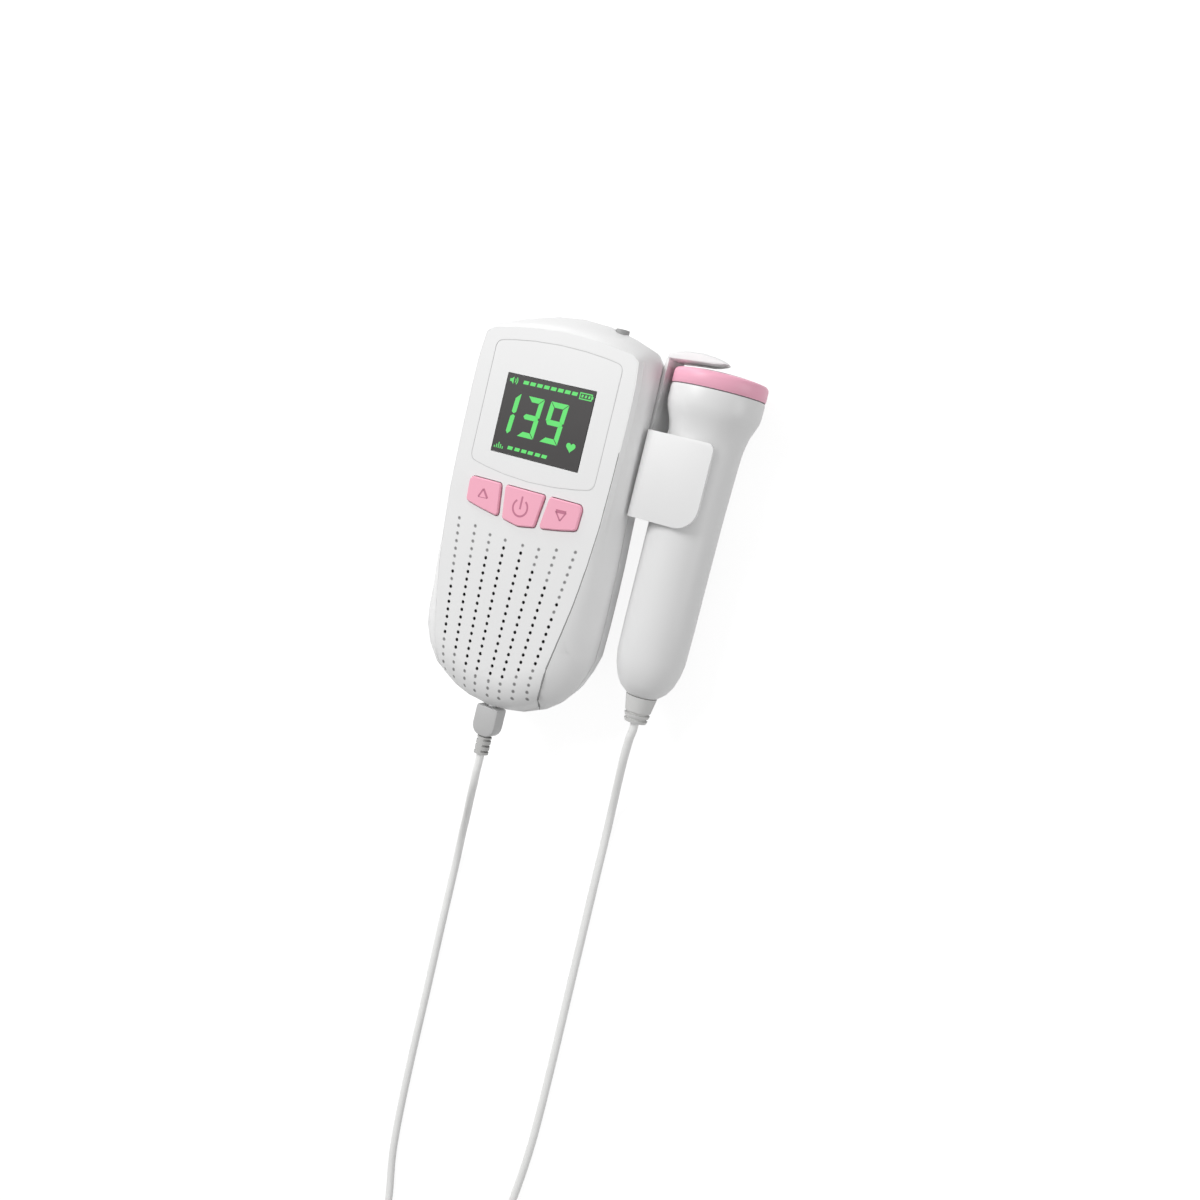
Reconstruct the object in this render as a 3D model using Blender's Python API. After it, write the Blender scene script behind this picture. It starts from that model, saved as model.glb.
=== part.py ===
# Hand-held fetal heartbeat monitor with its ultrasound probe clipped to the right side.
# The monitor lies on its back: +Z is up, out of the display face, +Y runs towards the top end
# and +X towards the probe. The origin is under the middle of the monitor and probe together,
# on the surface that they lie on. All sizes are in metres.

import bpy
import bmesh
import math
from mathutils import Vector

# Clearances
GAP = 0.0003
OVERRUN = 0.003

# The monitor's housing
HALF_WIDTH = 0.0366
LENGTH = 0.1420
THICKNESS = 0.0383
TOP_REACH = 0.0382
SEAM_DEPTH = 0.0117
WALL = 0.0020
EDGE_SOFTENING = 0.0020
SIDE_BULGE = 0.0007
END_RADIUS = 0.0378
END_ROUNDING = 0.0100

# The front panel, its ledge and the speaker holes
PANEL_THICKNESS = 0.0016
PANEL_REVEAL = 0.00015
LEDGE_WIDTH = 0.0022
LEDGE_THICKNESS = 0.0016
LEDGE_BITE = 0.0010
HOLE_DIAMETER = 0.0013
HOLE_PITCH = 0.00277

# The display
BEZEL_HALF_WIDTH = 0.0263
BEZEL_TOP_MARGIN = 0.0113
BEZEL_BOTTOM = 0.0217
BEZEL_CORNER = 0.0028
BEZEL_THICKNESS = 0.0009
SCREEN_WIDTH = 0.0370
SCREEN_HEIGHT = 0.0283
SCREEN_LIP = 0.0004
DISPLAY_WIDTH = 0.0500
DISPLAY_HEIGHT = 0.0380

# The buttons and their switches
BUTTON_PROUD = 0.0010
BUTTON_TRAVEL = 0.0006
BUTTON_TOP = 0.0244
BUTTON_HEIGHT = 0.0130
BUTTON_REACH = 0.0239
BUTTON_FLANGE = 0.0006
BUTTON_FLANGE_THICKNESS = 0.0008
BUTTON_EDGE_RADIUS = 0.0004
STEM_RADIUS = 0.0016
SWITCH_SIZE = 0.0060
SWITCH_HEIGHT = 0.0030

# The circuit board and what sits on it
BOARD_DEPTH = 0.0086
BOARD_THICKNESS = 0.0016
BOARD_HALF_WIDTH = 0.0240
BOARD_TOP_MARGIN = 0.0102
BOARD_LENGTH = 0.0720
JACK_X = 0.0156
JACK_WIDTH = 0.0064
JACK_LENGTH = 0.0112
JACK_THICKNESS = 0.0040
JACK_BORE = 0.0018
JACK_COLLAR_RADIUS = 0.0024
JACK_COLLAR_PROUD = 0.0009

# The speaker
SPEAKER_MARGIN = 0.0358
SPEAKER_RADIUS = 0.0180
SPEAKER_RIM = 0.0014
SPEAKER_DEPTH = 0.0086

# The rear shell, the battery bay and its door
BACK_INSET = 0.0160
BACK_INSET_DEPTH_SHARES = [(0.0, 0.0), (0.12, 0.03), (0.30, 0.11), (0.46, 0.24), (0.64, 0.39),
                           (0.80, 0.52), (0.90, 0.65), (0.965, 0.80), (1.0, 1.0)]
DOOR_HALF_WIDTH = 0.0153
DOOR_MARGIN = 0.0060
DOOR_THICKNESS = 0.0020
CELL_RADIUS = 0.00715
CELL_LENGTH = 0.0492
CELL_NUB_RADIUS = 0.0027
CELL_NUB_LENGTH = 0.0012
BAY_MARGIN = 0.0300
TRAY_WALL = 0.0012
CONTACT_THICKNESS = 0.0005
SCREW_SHANK_RADIUS = 0.0012
SCREW_HEAD_RADIUS = 0.0024
SCREW_HEAD_HEIGHT = 0.0018
POST_RADIUS = 0.0040
BOSS_RADIUS = 0.0030
POST_TOP_MARGIN = 0.0182
POST_SIDE_MARGIN_TOP = 0.0083
POST_BOTTOM_MARGIN = 0.0298
POST_SIDE_MARGIN_BOTTOM = 0.0104
SCREW_HEAD_DEPTH = 0.0200

# The socket at the bottom end and the plug in it
SOCKET_DEPTH = 0.0111
SOCKET_WIDTH = 0.0080
SOCKET_LENGTH = 0.0100
SOCKET_HEIGHT = 0.0060
PIN_RADIUS = 0.00175
PIN_LENGTH = 0.0100
PLUG_WIDTH = 0.0097
PLUG_LENGTH = 0.0114
PLUG_THICKNESS = 0.0064
PLUG_ROUND_SHARE = 0.42
PLUG_RELIEF_RADIUS = 0.0027
PLUG_RELIEF_LENGTH = 0.0066
PLUG_SLOT_COUNT = 3
PLUG_SLOT_PITCH = 0.00215
PLUG_SLOT_HEIGHT = 0.0008
PLUG_SLOT_DEPTH_SHARE = 0.56

# The probe
PROBE_X = 0.0525
PROBE_DEPTH = 0.0215
HEAD_RADIUS = 0.01645
HANDLE_RADIUS = 0.0124
PROBE_WALL = 0.0018
CAP_SEAM = 0.0236
CAP_RIM = 0.0286
CAP_CROWN = 0.0302
CAP_WALL = 0.0014
HANDLE_END = -0.0842
PROBE_RELIEF_RADIUS = 0.0056
PROBE_RELIEF_LENGTH = 0.0096
CRYSTAL_RADIUS = 0.0098
CRYSTAL_THICKNESS = 0.0018
CRYSTAL_SLOT = 0.0008
BACKING_THICKNESS = 0.0030
PROBE_BOARD_LENGTH = 0.0520

# The clip that holds the probe
CLIP_THICKNESS = 0.0012
CLIP_X = 0.0345
CLIP_FRONT = 0.0125
CLIP_BACK = 0.0250
CLIP_TOP = 0.0310
ARM_TOP = 0.0060
ARM_BOTTOM = -0.0240
ARM_FRONT = 0.0069
ARM_REACH = 0.0624
ARM_BEND = 0.0052
REAR_ARM_REACH = 0.0580
ARM_CORNER_TOP = 0.0024
ARM_CORNER_BOTTOM = 0.0078
HOOK_REACH = 0.0574
HOOK_RISE = 0.0036
HOOK_THICKNESS = 0.0034
HOOK_BACK_SHARE = 0.74
CLIP_SCREW_DEPTH = 0.0175

# The cord
CORD_RADIUS = 0.0015
COIL_X = 0.0150
COIL_Y = -0.3420
COIL_OUTER = 0.0215
COIL_PITCH = 0.00345
COIL_TURNS_PER_LAYER = 3
COIL_STEPS = 24
COIL_DIP_SHARE = 0.28
TIE_THICKNESS = 0.0005
TIE_WIDTH = 0.0030

# The frame's middle, under the monitor and the probe together
MIDDLE_X = (PROBE_X + HEAD_RADIUS - HALF_WIDTH) / 2
MIDDLE_Y = TOP_REACH - LENGTH / 2
END_CENTRE_Y = TOP_REACH - LENGTH + END_RADIUS

# Places that follow from the sizes above
BEZEL_TOP = TOP_REACH - BEZEL_TOP_MARGIN
BOARD_TOP = TOP_REACH - BOARD_TOP_MARGIN
BOARD_BOTTOM = BOARD_LENGTH - BOARD_TOP
SPEAKER_Y = TOP_REACH - LENGTH + SPEAKER_MARGIN
CELL_TOP = TOP_REACH - LENGTH + BAY_MARGIN + CELL_LENGTH + CELL_NUB_LENGTH + CONTACT_THICKNESS * 2
DOOR_TOP = CELL_TOP + DOOR_MARGIN


def place(x, y, depth):
    """A point from its place across and along the monitor and its depth under the front face."""
    return Vector((x - MIDDLE_X, y - MIDDLE_Y, THICKNESS - depth))


def clear_scene():
    for item in list(bpy.data.objects):
        bpy.data.objects.remove(item, do_unlink=True)


def material(name, colour, roughness, metallic=0.0):
    made = bpy.data.materials.new(name)
    made.use_nodes = True
    shader = made.node_tree.nodes["Principled BSDF"]
    shader.inputs["Base Color"].default_value = (*colour, 1.0)
    shader.inputs["Roughness"].default_value = roughness
    shader.inputs["Metallic"].default_value = metallic
    return made


def add_object(name, mesh, surface=None):
    item = bpy.data.objects.new(name, mesh)
    bpy.context.scene.collection.objects.link(item)
    if surface is not None:
        mesh.materials.append(surface)
    return item


def mesh_from(name, shape):
    bmesh.ops.recalc_face_normals(shape, faces=shape.faces)
    mesh = bpy.data.meshes.new(name)
    shape.to_mesh(mesh)
    shape.free()
    return mesh


def smooth(item, degrees=35.0):
    item.data.shade_smooth()
    item.data.set_sharp_from_angle(angle=math.radians(degrees))
    return item


def move_origin(item, origin):
    """Put an object's origin at a point and leave its shape where it is."""
    for vertex in item.data.vertices:
        vertex.co = vertex.co - origin
    item.location = origin
    return item


def cutter(name, mesh):
    item = add_object(name, mesh)
    item.hide_render = True
    item.display_type = "WIRE"
    return item


def boolean(item, tool, operation="DIFFERENCE", solver="EXACT"):
    step = item.modifiers.new(tool.name, "BOOLEAN")
    step.operation = operation
    step.object = tool
    step.solver = solver
    return item


def bevel(item, width, segments=2, degrees=50.0):
    step = item.modifiers.new("edges", "BEVEL")
    step.width = width
    step.segments = segments
    step.limit_method = "ANGLE"
    step.angle_limit = math.radians(degrees)
    step.harden_normals = False
    return item


def prism_mesh(name, outline, upper, lower):
    """A flat outline of (x, y) pairs carried from one depth to another."""
    shape = bmesh.new()
    top = [shape.verts.new(place(x, y, upper)) for x, y in outline]
    bottom = [shape.verts.new(place(x, y, lower)) for x, y in outline]
    shape.faces.new(top)
    shape.faces.new(list(reversed(bottom)))
    count = len(outline)
    for i in range(count):
        j = (i + 1) % count
        shape.faces.new((top[i], top[j], bottom[j], bottom[i]))
    return mesh_from(name, shape)


def box_mesh(name, low, high):
    """A block between two corners, each an (x, y, depth) triple."""
    outline = [(low[0], low[1]), (high[0], low[1]), (high[0], high[1]), (low[0], high[1])]
    return prism_mesh(name, outline, low[2], high[2])


def arc(centre, radius, start, end, steps):
    """Points on a round stretch, from one angle to another in degrees."""
    points = []
    for i in range(steps + 1):
        angle = math.radians(start + (end - start) * i / steps)
        points.append((centre[0] + radius * math.cos(angle), centre[1] + radius * math.sin(angle)))
    return points


def rounded(points, radius, steps=3):
    """An outline with each corner rounded by an arc-like curve."""
    result = []
    count = len(points)
    for i in range(count):
        here = Vector(points[i])
        before = Vector(points[i - 1]) - here
        after = Vector(points[(i + 1) % count]) - here
        reach = min(radius, before.length * 0.45, after.length * 0.45)
        start = here + before.normalized() * reach
        end = here + after.normalized() * reach
        for k in range(steps + 1):
            t = k / steps
            spot = start * (1 - t) ** 2 + here * 2 * t * (1 - t) + end * t ** 2
            result.append((spot.x, spot.y))
    return result


def offset(points, amount):
    """A closed outline moved outwards by an amount, or inwards if it is negative."""
    count = len(points)
    area = sum(points[i - 1][0] * points[i][1] - points[i][0] * points[i - 1][1] for i in range(count))
    side = 1.0 if area > 0 else -1.0
    result = []
    for i in range(count):
        before = Vector(points[i - 1])
        here = Vector(points[i])
        after = Vector(points[(i + 1) % count])
        first = (here - before).normalized()
        second = (after - here).normalized()
        normal = Vector((first.y + second.y, -first.x - second.x)).normalized() * side
        lean = max(0.5, math.sqrt((1 + first.dot(second)) / 2))
        moved = here + normal * amount / lean
        result.append((moved.x, moved.y))
    return result


def turned_mesh(name, profile, centre, axis, sides):
    """A closed profile of (radius, place along the axis) pairs turned about an axis.

    Points with radius 0 lie on the axis.
    """
    shape = bmesh.new()
    along = axis.normalized()
    across = Vector((0, 0, 1)) if abs(along.z) < 0.5 else Vector((1, 0, 0))
    third = along.cross(across).normalized()
    rings = []
    for radius, run in profile:
        if radius == 0:
            rings.append([shape.verts.new(centre + along * run)])
            continue
        ring = []
        for i in range(sides):
            angle = math.tau * (i + 0.5) / sides
            ring.append(shape.verts.new(centre + along * run + across * radius * math.cos(angle)
                                        + third * radius * math.sin(angle)))
        rings.append(ring)
    loops = list(zip(rings, rings[1:]))
    if len(rings[0]) > 1 or len(rings[-1]) > 1:
        loops.append((rings[-1], rings[0]))
    for first, second in loops:
        join_rings(shape, first, second, sides)
    return mesh_from(name, shape)


def join_rings(shape, first, second, sides):
    for i in range(sides):
        j = (i + 1) % sides
        if len(first) == 1 and len(second) == 1:
            return
        if len(first) == 1:
            shape.faces.new((first[0], second[i], second[j]))
        elif len(second) == 1:
            shape.faces.new((first[i], second[0], first[j]))
        else:
            shape.faces.new((first[i], second[i], second[j], first[j]))


def cylinder_mesh(name, centre, axis, radius, start, end, sides=24):
    return turned_mesh(name, [(0, start), (radius, start), (radius, end), (0, end)], centre, axis, sides)


def follow(points, steps):
    """A smooth curve through points, with a number of steps between each pair."""
    padded = [points[0] * 2 - points[1]] + list(points) + [points[-1] * 2 - points[-2]]
    result = []
    for i in range(1, len(padded) - 2):
        p0, p1, p2, p3 = padded[i - 1:i + 3]
        for k in range(steps):
            t = k / steps
            result.append(((p1 * 2) + (p2 - p0) * t + (p0 * 2 - p1 * 5 + p2 * 4 - p3) * t ** 2
                           + (p1 * 3 - p0 - p2 * 3 + p3) * t ** 3) / 2)
    result.append(points[-1].copy())
    return result


def evenly(points, spacing):
    """Points a set distance apart along a path."""
    lengths = [0.0]
    for first, second in zip(points, points[1:]):
        lengths.append(lengths[-1] + (second - first).length)
    count = max(2, round(lengths[-1] / spacing))
    result = []
    k = 0
    for i in range(count + 1):
        goal = lengths[-1] * i / count
        while k < len(lengths) - 2 and lengths[k + 1] < goal:
            k += 1
        part = (goal - lengths[k]) / (lengths[k + 1] - lengths[k])
        result.append(points[k].lerp(points[k + 1], part))
    return result


def tube(name, points, radius, resolution, surface):
    curve = bpy.data.curves.new(name, "CURVE")
    curve.dimensions = "3D"
    curve.bevel_depth = radius
    curve.bevel_resolution = resolution
    curve.use_fill_caps = True
    spline = curve.splines.new("POLY")
    spline.points.add(len(points) - 1)
    for target, spot in zip(spline.points, points):
        target.co = (*spot, 1.0)
    curve.materials.append(surface)
    item = bpy.data.objects.new(name, curve)
    bpy.context.scene.collection.objects.link(item)
    return item


# The housing's plan. Each row is a station from the middle of the top end round to the middle of
# the bottom end: a share of the half width, and a share of the length from the top end. The
# shoulder is where the bevel meets the upright side, and its rows add a share of the seam's depth.
EDGE_LINE_SHARES = [(0.000, 0.048), (0.273, 0.051), (0.546, 0.058), (0.779, 0.068), (0.858, 0.082),
                    (0.883, 0.135), (0.892, 0.213), (0.888, 0.354), (0.877, 0.480), (0.847, 0.579),
                    (0.803, 0.677), (0.754, 0.748), (0.713, 0.804)]
SHOULDER_LINE_SHARES = [(0.000, 0.013, 0.60), (0.287, 0.018, 0.60), (0.574, 0.030, 0.60),
                        (0.820, 0.049, 0.60), (0.929, 0.072, 0.60), (0.951, 0.135, 0.60),
                        (0.959, 0.213, 0.60), (0.962, 0.354, 0.60), (0.975, 0.480, 0.60),
                        (0.984, 0.579, 0.62), (0.984, 0.677, 0.67), (0.973, 0.748, 0.74),
                        (0.968, 0.806, 0.75)]
SEAM_LINE_SHARES = [(0.000, 0.000), (0.301, 0.006), (0.601, 0.024), (0.847, 0.046), (0.937, 0.072),
                    (0.951, 0.135), (0.954, 0.213), (0.956, 0.354), (0.973, 0.480), (0.992, 0.579),
                    (1.000, 0.677), (1.000, 0.748), (0.994, 0.806)]

# The bottom end, in stations that follow those: the angle of the edge line from the bottom and its
# share of the end radius, the angle where the rounding starts, and the angle and the radius share
# of the outer wall.
END_EDGE_DEGREES = [55.5, 43.8, 36.9, 32.9, 21.7, 10.7, 0.0]
END_EDGE_RADIUS_SHARES = [0.793, 0.897, 0.965, 1.006, 1.012, 1.002, 0.995]
END_START_DEGREES = [55.5, 47.5, 41.0, 34.0, 23.0, 11.5, 0.0]
END_WALL_DEGREES = [64.1, 53.8, 42.6, 34.2, 21.7, 10.7, 0.0]
END_WALL_RADIUS_SHARES = [1.012, 1.032, 1.042, 1.040, 1.024, 1.008, 1.0]


def plan_point(shares):
    return Vector((shares[0] * HALF_WIDTH, TOP_REACH - shares[1] * LENGTH, 0))


def end_point(radius, degrees, depth):
    angle = math.radians(degrees)
    return Vector((radius * math.sin(angle), END_CENTRE_Y - radius * math.cos(angle), depth))


def rounding_depth(radius):
    """How deep the rounded bottom end lies under the front face, at a radius from the end's centre."""
    run = min(max(radius - (END_RADIUS - END_ROUNDING), 0.0), END_ROUNDING * 0.999)
    return END_ROUNDING - math.sqrt(END_ROUNDING ** 2 - run ** 2)


def half_lines():
    """The right half's lines over the front half of the housing, from the flat face to the seam.

    Each line is a list of (x, y, depth) stations.
    """
    shoulder_depth = SEAM_DEPTH * SHOULDER_LINE_SHARES[-1][2]
    edge = [plan_point(s) for s in EDGE_LINE_SHARES]
    shoulder = [plan_point(s) + Vector((0, 0, SEAM_DEPTH * s[2])) for s in SHOULDER_LINE_SHARES]
    seam = [plan_point(s) + Vector((0, 0, SEAM_DEPTH)) for s in SEAM_LINE_SHARES]
    flat = []
    for i, spot in enumerate(edge):
        before = edge[max(i - 1, 0)]
        after = edge[min(i + 1, len(edge) - 1)]
        run = (after - before).normalized()
        flat.append(spot + Vector((run.y, -run.x, 0)) * EDGE_SOFTENING)
    stations = zip(END_EDGE_DEGREES, END_EDGE_RADIUS_SHARES, END_START_DEGREES, END_WALL_DEGREES,
                   END_WALL_RADIUS_SHARES)
    for degrees, share, start, wall, wide in stations:
        radius = END_RADIUS * share
        depth = rounding_depth(radius)
        edge.append(end_point(radius, degrees, depth))
        flat.append(end_point(END_RADIUS - END_ROUNDING, start, 0))
        lower = max(shoulder_depth, depth + (SEAM_DEPTH - depth) / 4)
        shoulder.append(end_point(END_RADIUS * wide, wall, lower))
        seam.append(end_point(END_RADIUS * wide, wall, SEAM_DEPTH))
    return flat, edge, shoulder, seam


def rounding_line(flat, edge, share):
    """A line between the flat face and the edge line, lying on the rounded end where there is one."""
    result = []
    for first, last in zip(flat, edge):
        spot = first.lerp(last, share)
        if last.z > 0:
            reach = math.hypot(spot.x, spot.y - END_CENTRE_Y)
            turn = share * math.pi / 2
            start = END_RADIUS - END_ROUNDING
            goal = math.hypot(last.x, last.y - END_CENTRE_Y)
            radius = start + (goal - start) * math.sin(turn)
            spot.x = spot.x * radius / reach
            spot.y = END_CENTRE_Y + (spot.y - END_CENTRE_Y) * radius / reach
            spot.z = rounding_depth(radius)
        result.append(spot)
    return result


def bulged_line(edge, shoulder):
    """The line half way down the side, which swells near the top end and is flat near the bottom."""
    result = []
    for first, last in zip(edge, shoulder):
        spot = first.lerp(last, 0.5)
        swell = min(max((spot.y + LENGTH * 0.30) / (LENGTH * 0.30), 0.0), 1.0) * SIDE_BULGE
        outward = Vector((0, spot.y, -spot.y))
        if spot.y < TOP_REACH * 0.7:
            outward = Vector((spot.x, 0, -SIDE_BULGE))
        result.append(spot + outward.normalized() * swell)
    return result


def whole_line(half):
    """A closed line from a half line and its mirror image."""
    mirrored = [Vector((-p.x, p.y, p.z)) for p in reversed(half[1:-1])]
    return half + mirrored


def front_lines():
    flat, edge, shoulder, seam = half_lines()
    past_seam = [p + Vector((0, 0, OVERRUN)) for p in seam]
    halves = [flat, rounding_line(flat, edge, 0.35), rounding_line(flat, edge, 0.65), edge,
              bulged_line(edge, shoulder), shoulder, seam, past_seam]
    return [whole_line(half) for half in halves]


def seam_block(name, upper, lower):
    """A block that covers the whole plan, from one depth to another."""
    reach = LENGTH
    return cutter(name, box_mesh(name, (-reach, MIDDLE_Y - reach, upper), (reach, MIDDLE_Y + reach, lower)))


def panel_outline(inset):
    """The front panel's outline in plan, run on past the bottom end."""
    edge = half_lines()[1][:len(EDGE_LINE_SHARES) + 4]
    last = edge[-1]
    right = [(p.x, p.y) for p in edge]
    right.append((last.x * 0.93, END_CENTRE_Y - END_RADIUS - OVERRUN * 2))
    left = [(-x, y) for x, y in reversed(right[1:])]
    return offset(right + left, -inset)


def sheet_mesh(name, lines, cap_last):
    """A skin through closed lines, with the first or the last one capped."""
    shape = bmesh.new()
    rings = [[shape.verts.new(place(*p)) for p in line] for line in lines]
    count = len(rings[0])
    for first, second in zip(rings, rings[1:]):
        for i in range(count):
            j = (i + 1) % count
            shape.faces.new((first[i], first[j], second[j], second[i]))
    shape.faces.new(rings[-1] if cap_last else rings[0])
    bmesh.ops.recalc_face_normals(shape, faces=shape.faces)
    middle = place(0, MIDDLE_Y, THICKNESS / 2)
    cap = max(shape.faces, key=lambda face: len(face.verts))
    if cap.normal.dot(cap.calc_center_median() - middle) < 0:
        bmesh.ops.reverse_faces(shape, faces=shape.faces)
    mesh = bpy.data.meshes.new(name)
    shape.to_mesh(mesh)
    shape.free()
    return mesh


def thicken(item, thickness):
    step = item.modifiers.new("wall", "SOLIDIFY")
    step.thickness = thickness
    step.offset = -1.0
    step.use_even_offset = True
    step.use_rim = True
    return item


def rear_lines():
    """The rear shell's closed lines, from the seam down to the flat back."""
    seam = front_lines()[-2]
    start = SEAM_DEPTH + GAP
    middle = MIDDLE_Y
    lines = [[Vector((p.x, p.y, start - OVERRUN)) for p in seam]]
    for depth_share, inset_share in BACK_INSET_DEPTH_SHARES:
        depth = start + (THICKNESS - start) * depth_share
        inset = BACK_INSET * inset_share
        wide = 1 - inset / HALF_WIDTH
        long = 1 - inset / (LENGTH / 2)
        lines.append([Vector((p.x * wide, middle + (p.y - middle) * long, depth)) for p in seam])
    return lines


def post_places():
    rows = ((TOP_REACH - POST_TOP_MARGIN, HALF_WIDTH - POST_SIDE_MARGIN_TOP),
            (TOP_REACH - LENGTH + POST_BOTTOM_MARGIN, HALF_WIDTH - POST_SIDE_MARGIN_BOTTOM))
    return [(side * spread, y) for y, spread in rows for side in (-1, 1)]


DOWN = Vector((0, 0, -1))
ALONG = Vector((0, 1, 0))
ACROSS = Vector((1, 0, 0))


def ledge_outline(margin):
    """The plan of the ledge under the panel's rim, a band along the edge line, open at the bottom."""
    edge = half_lines()[1][:len(EDGE_LINE_SHARES)]
    right = [(p.x, p.y) for p in edge]
    ring = [(-x, y) for x, y in reversed(right[1:])] + right
    return offset(ring, LEDGE_BITE + margin) + list(reversed(offset(ring, -LEDGE_WIDTH - margin)))


def make_ledge():
    """The ledge under the panel's rim, with the four screw bosses, joined to the front shell."""
    upper = PANEL_THICKNESS + GAP / 2
    ledge = cutter("ledge", prism_mesh("ledge", ledge_outline(0), upper, upper + LEDGE_THICKNESS))
    for number, (x, y) in enumerate(post_places(), 1):
        foot = SEAM_DEPTH - GAP
        mesh = cylinder_mesh("boss", place(x, y, 0), DOWN, BOSS_RADIUS, upper + LEDGE_THICKNESS / 2, foot, 16)
        boolean(ledge, cutter("boss_%d" % number, mesh), "UNION")
    return ledge


def make_front_shell(surface):
    item = add_object("front_shell", sheet_mesh("front_shell", front_lines(), False), surface)
    thicken(item, WALL)
    opening = prism_mesh("panel_opening", panel_outline(PANEL_REVEAL), -OVERRUN, SEAM_DEPTH + OVERRUN)
    boolean(item, cutter("panel_opening", opening))
    boolean(item, make_ledge(), "UNION")
    for number, (x, y) in enumerate(post_places(), 1):
        pilot = cylinder_mesh("pilot", place(x, y, 0), DOWN, SCREW_SHANK_RADIUS + GAP / 2,
                              PANEL_THICKNESS + LEDGE_THICKNESS + OVERRUN, SEAM_DEPTH + OVERRUN, 12)
        boolean(item, cutter("pilot_%d" % number, pilot))
    boolean(item, bpy.data.objects["jack_hole"])
    boolean(item, seam_block("below_seam", SEAM_DEPTH, THICKNESS))
    return smooth(item)


def bezel_outline(inset):
    """The screen surround's outline: upright sides and bowed top and bottom edges."""
    side = BEZEL_HALF_WIDTH
    sag_top = BEZEL_TOP * 0.09
    sag_bottom = BEZEL_BOTTOM * 0.14
    points = []
    for share in (-1.0, -0.72, -0.4, 0.0, 0.4, 0.72, 1.0):
        points.append((side * share, -BEZEL_BOTTOM + sag_bottom * share ** 2))
    for share in (1.0, 0.72, 0.4, 0.0, -0.4, -0.72, -1.0):
        points.append((side * share, BEZEL_TOP - sag_top * share ** 2))
    return offset(soften_corners(points, BEZEL_CORNER), -inset)


def soften_corners(points, radius):
    """Round only the corners that turn sharply."""
    result = []
    count = len(points)
    for i in range(count):
        here = Vector(points[i])
        before = Vector(points[i - 1]) - here
        after = Vector(points[(i + 1) % count]) - here
        if before.angle(after) > math.radians(150):
            result.append(points[i])
            continue
        start = here + before.normalized() * radius
        end = here + after.normalized() * radius
        for k in range(5):
            t = k / 4
            spot = start * (1 - t) ** 2 + here * 2 * t * (1 - t) + end * t ** 2
            result.append((spot.x, spot.y))
    return result


def rectangle(width, height, corner):
    across = width / 2
    up = height / 2
    return rounded([(-across, -up), (across, -up), (across, up), (-across, up)], corner)


# Button outlines, in shares of the buttons' reach to each side and of their height
MIDDLE_BUTTON_SHARES = [(-0.330, 0.0), (0.330, 0.0), (0.348, -0.06), (0.292, -0.86), (0.270, -0.915),
                        (0.0, -1.0), (-0.270, -0.915), (-0.292, -0.86), (-0.348, -0.06)]
SIDE_BUTTON_SHARES = [(0.455, 0.0), (0.955, 0.0), (1.0, -0.10), (0.985, -0.64), (0.955, -0.70),
                      (0.700, -0.80), (0.405, -0.885), (0.373, -0.82), (0.430, -0.05)]


def button_outline(kind):
    shares = MIDDLE_BUTTON_SHARES if kind == 0 else [(x * kind, y) for x, y in SIDE_BUTTON_SHARES]
    points = [(x * BUTTON_REACH, -BUTTON_TOP + y * BUTTON_HEIGHT) for x, y in shares]
    if kind >= 0:
        points.reverse()
    return rounded(points, BUTTON_EDGE_RADIUS * 3, 2)


def button_centre(kind):
    return (kind * BUTTON_REACH * 0.69, -BUTTON_TOP - BUTTON_HEIGHT * 0.42)


# Speaker hole columns on the right half: the share of the half width at the first hole and at the
# seventeenth, and the share of the length at the first hole. The rows are those pierced through.
HOLE_COLUMN_SHARES = [(0.683, 0.536, 0.554), (0.478, 0.380, 0.562), (0.287, 0.224, 0.573),
                      (0.1025, 0.082, 0.575)]
HOLE_ROWS = [(7, 9, 10, 11, 12, 13, 14, 15), range(5, 17), range(3, 18), range(1, 18)]
HOLE_REFERENCE_ROW = 16


def hole_places():
    """Centres of the speaker holes that go right through."""
    places = []
    for (first_share, later_share, top_share), rows in zip(HOLE_COLUMN_SHARES, HOLE_ROWS):
        lean = (first_share - later_share) * HALF_WIDTH / HOLE_REFERENCE_ROW
        drop = math.sqrt(HOLE_PITCH ** 2 - lean ** 2)
        for row in rows:
            x = first_share * HALF_WIDTH - lean * row
            y = TOP_REACH - top_share * LENGTH - drop * row
            places.extend([(x, y), (-x, y)])
    return places


def holes_mesh(name, sides=6):
    shape = bmesh.new()
    radius = HOLE_DIAMETER / 2
    for x, y in hole_places():
        rings = []
        for depth in (-OVERRUN, PANEL_THICKNESS + OVERRUN):
            ring = []
            for i in range(sides):
                angle = math.tau * i / sides
                spot = place(x + radius * math.cos(angle), y + radius * math.sin(angle), depth)
                ring.append(shape.verts.new(spot))
            rings.append(ring)
        shape.faces.new(rings[0])
        shape.faces.new(list(reversed(rings[1])))
        for i in range(sides):
            j = (i + 1) % sides
            shape.faces.new((rings[0][i], rings[1][i], rings[1][j], rings[0][j]))
    return mesh_from(name, shape)


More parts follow.
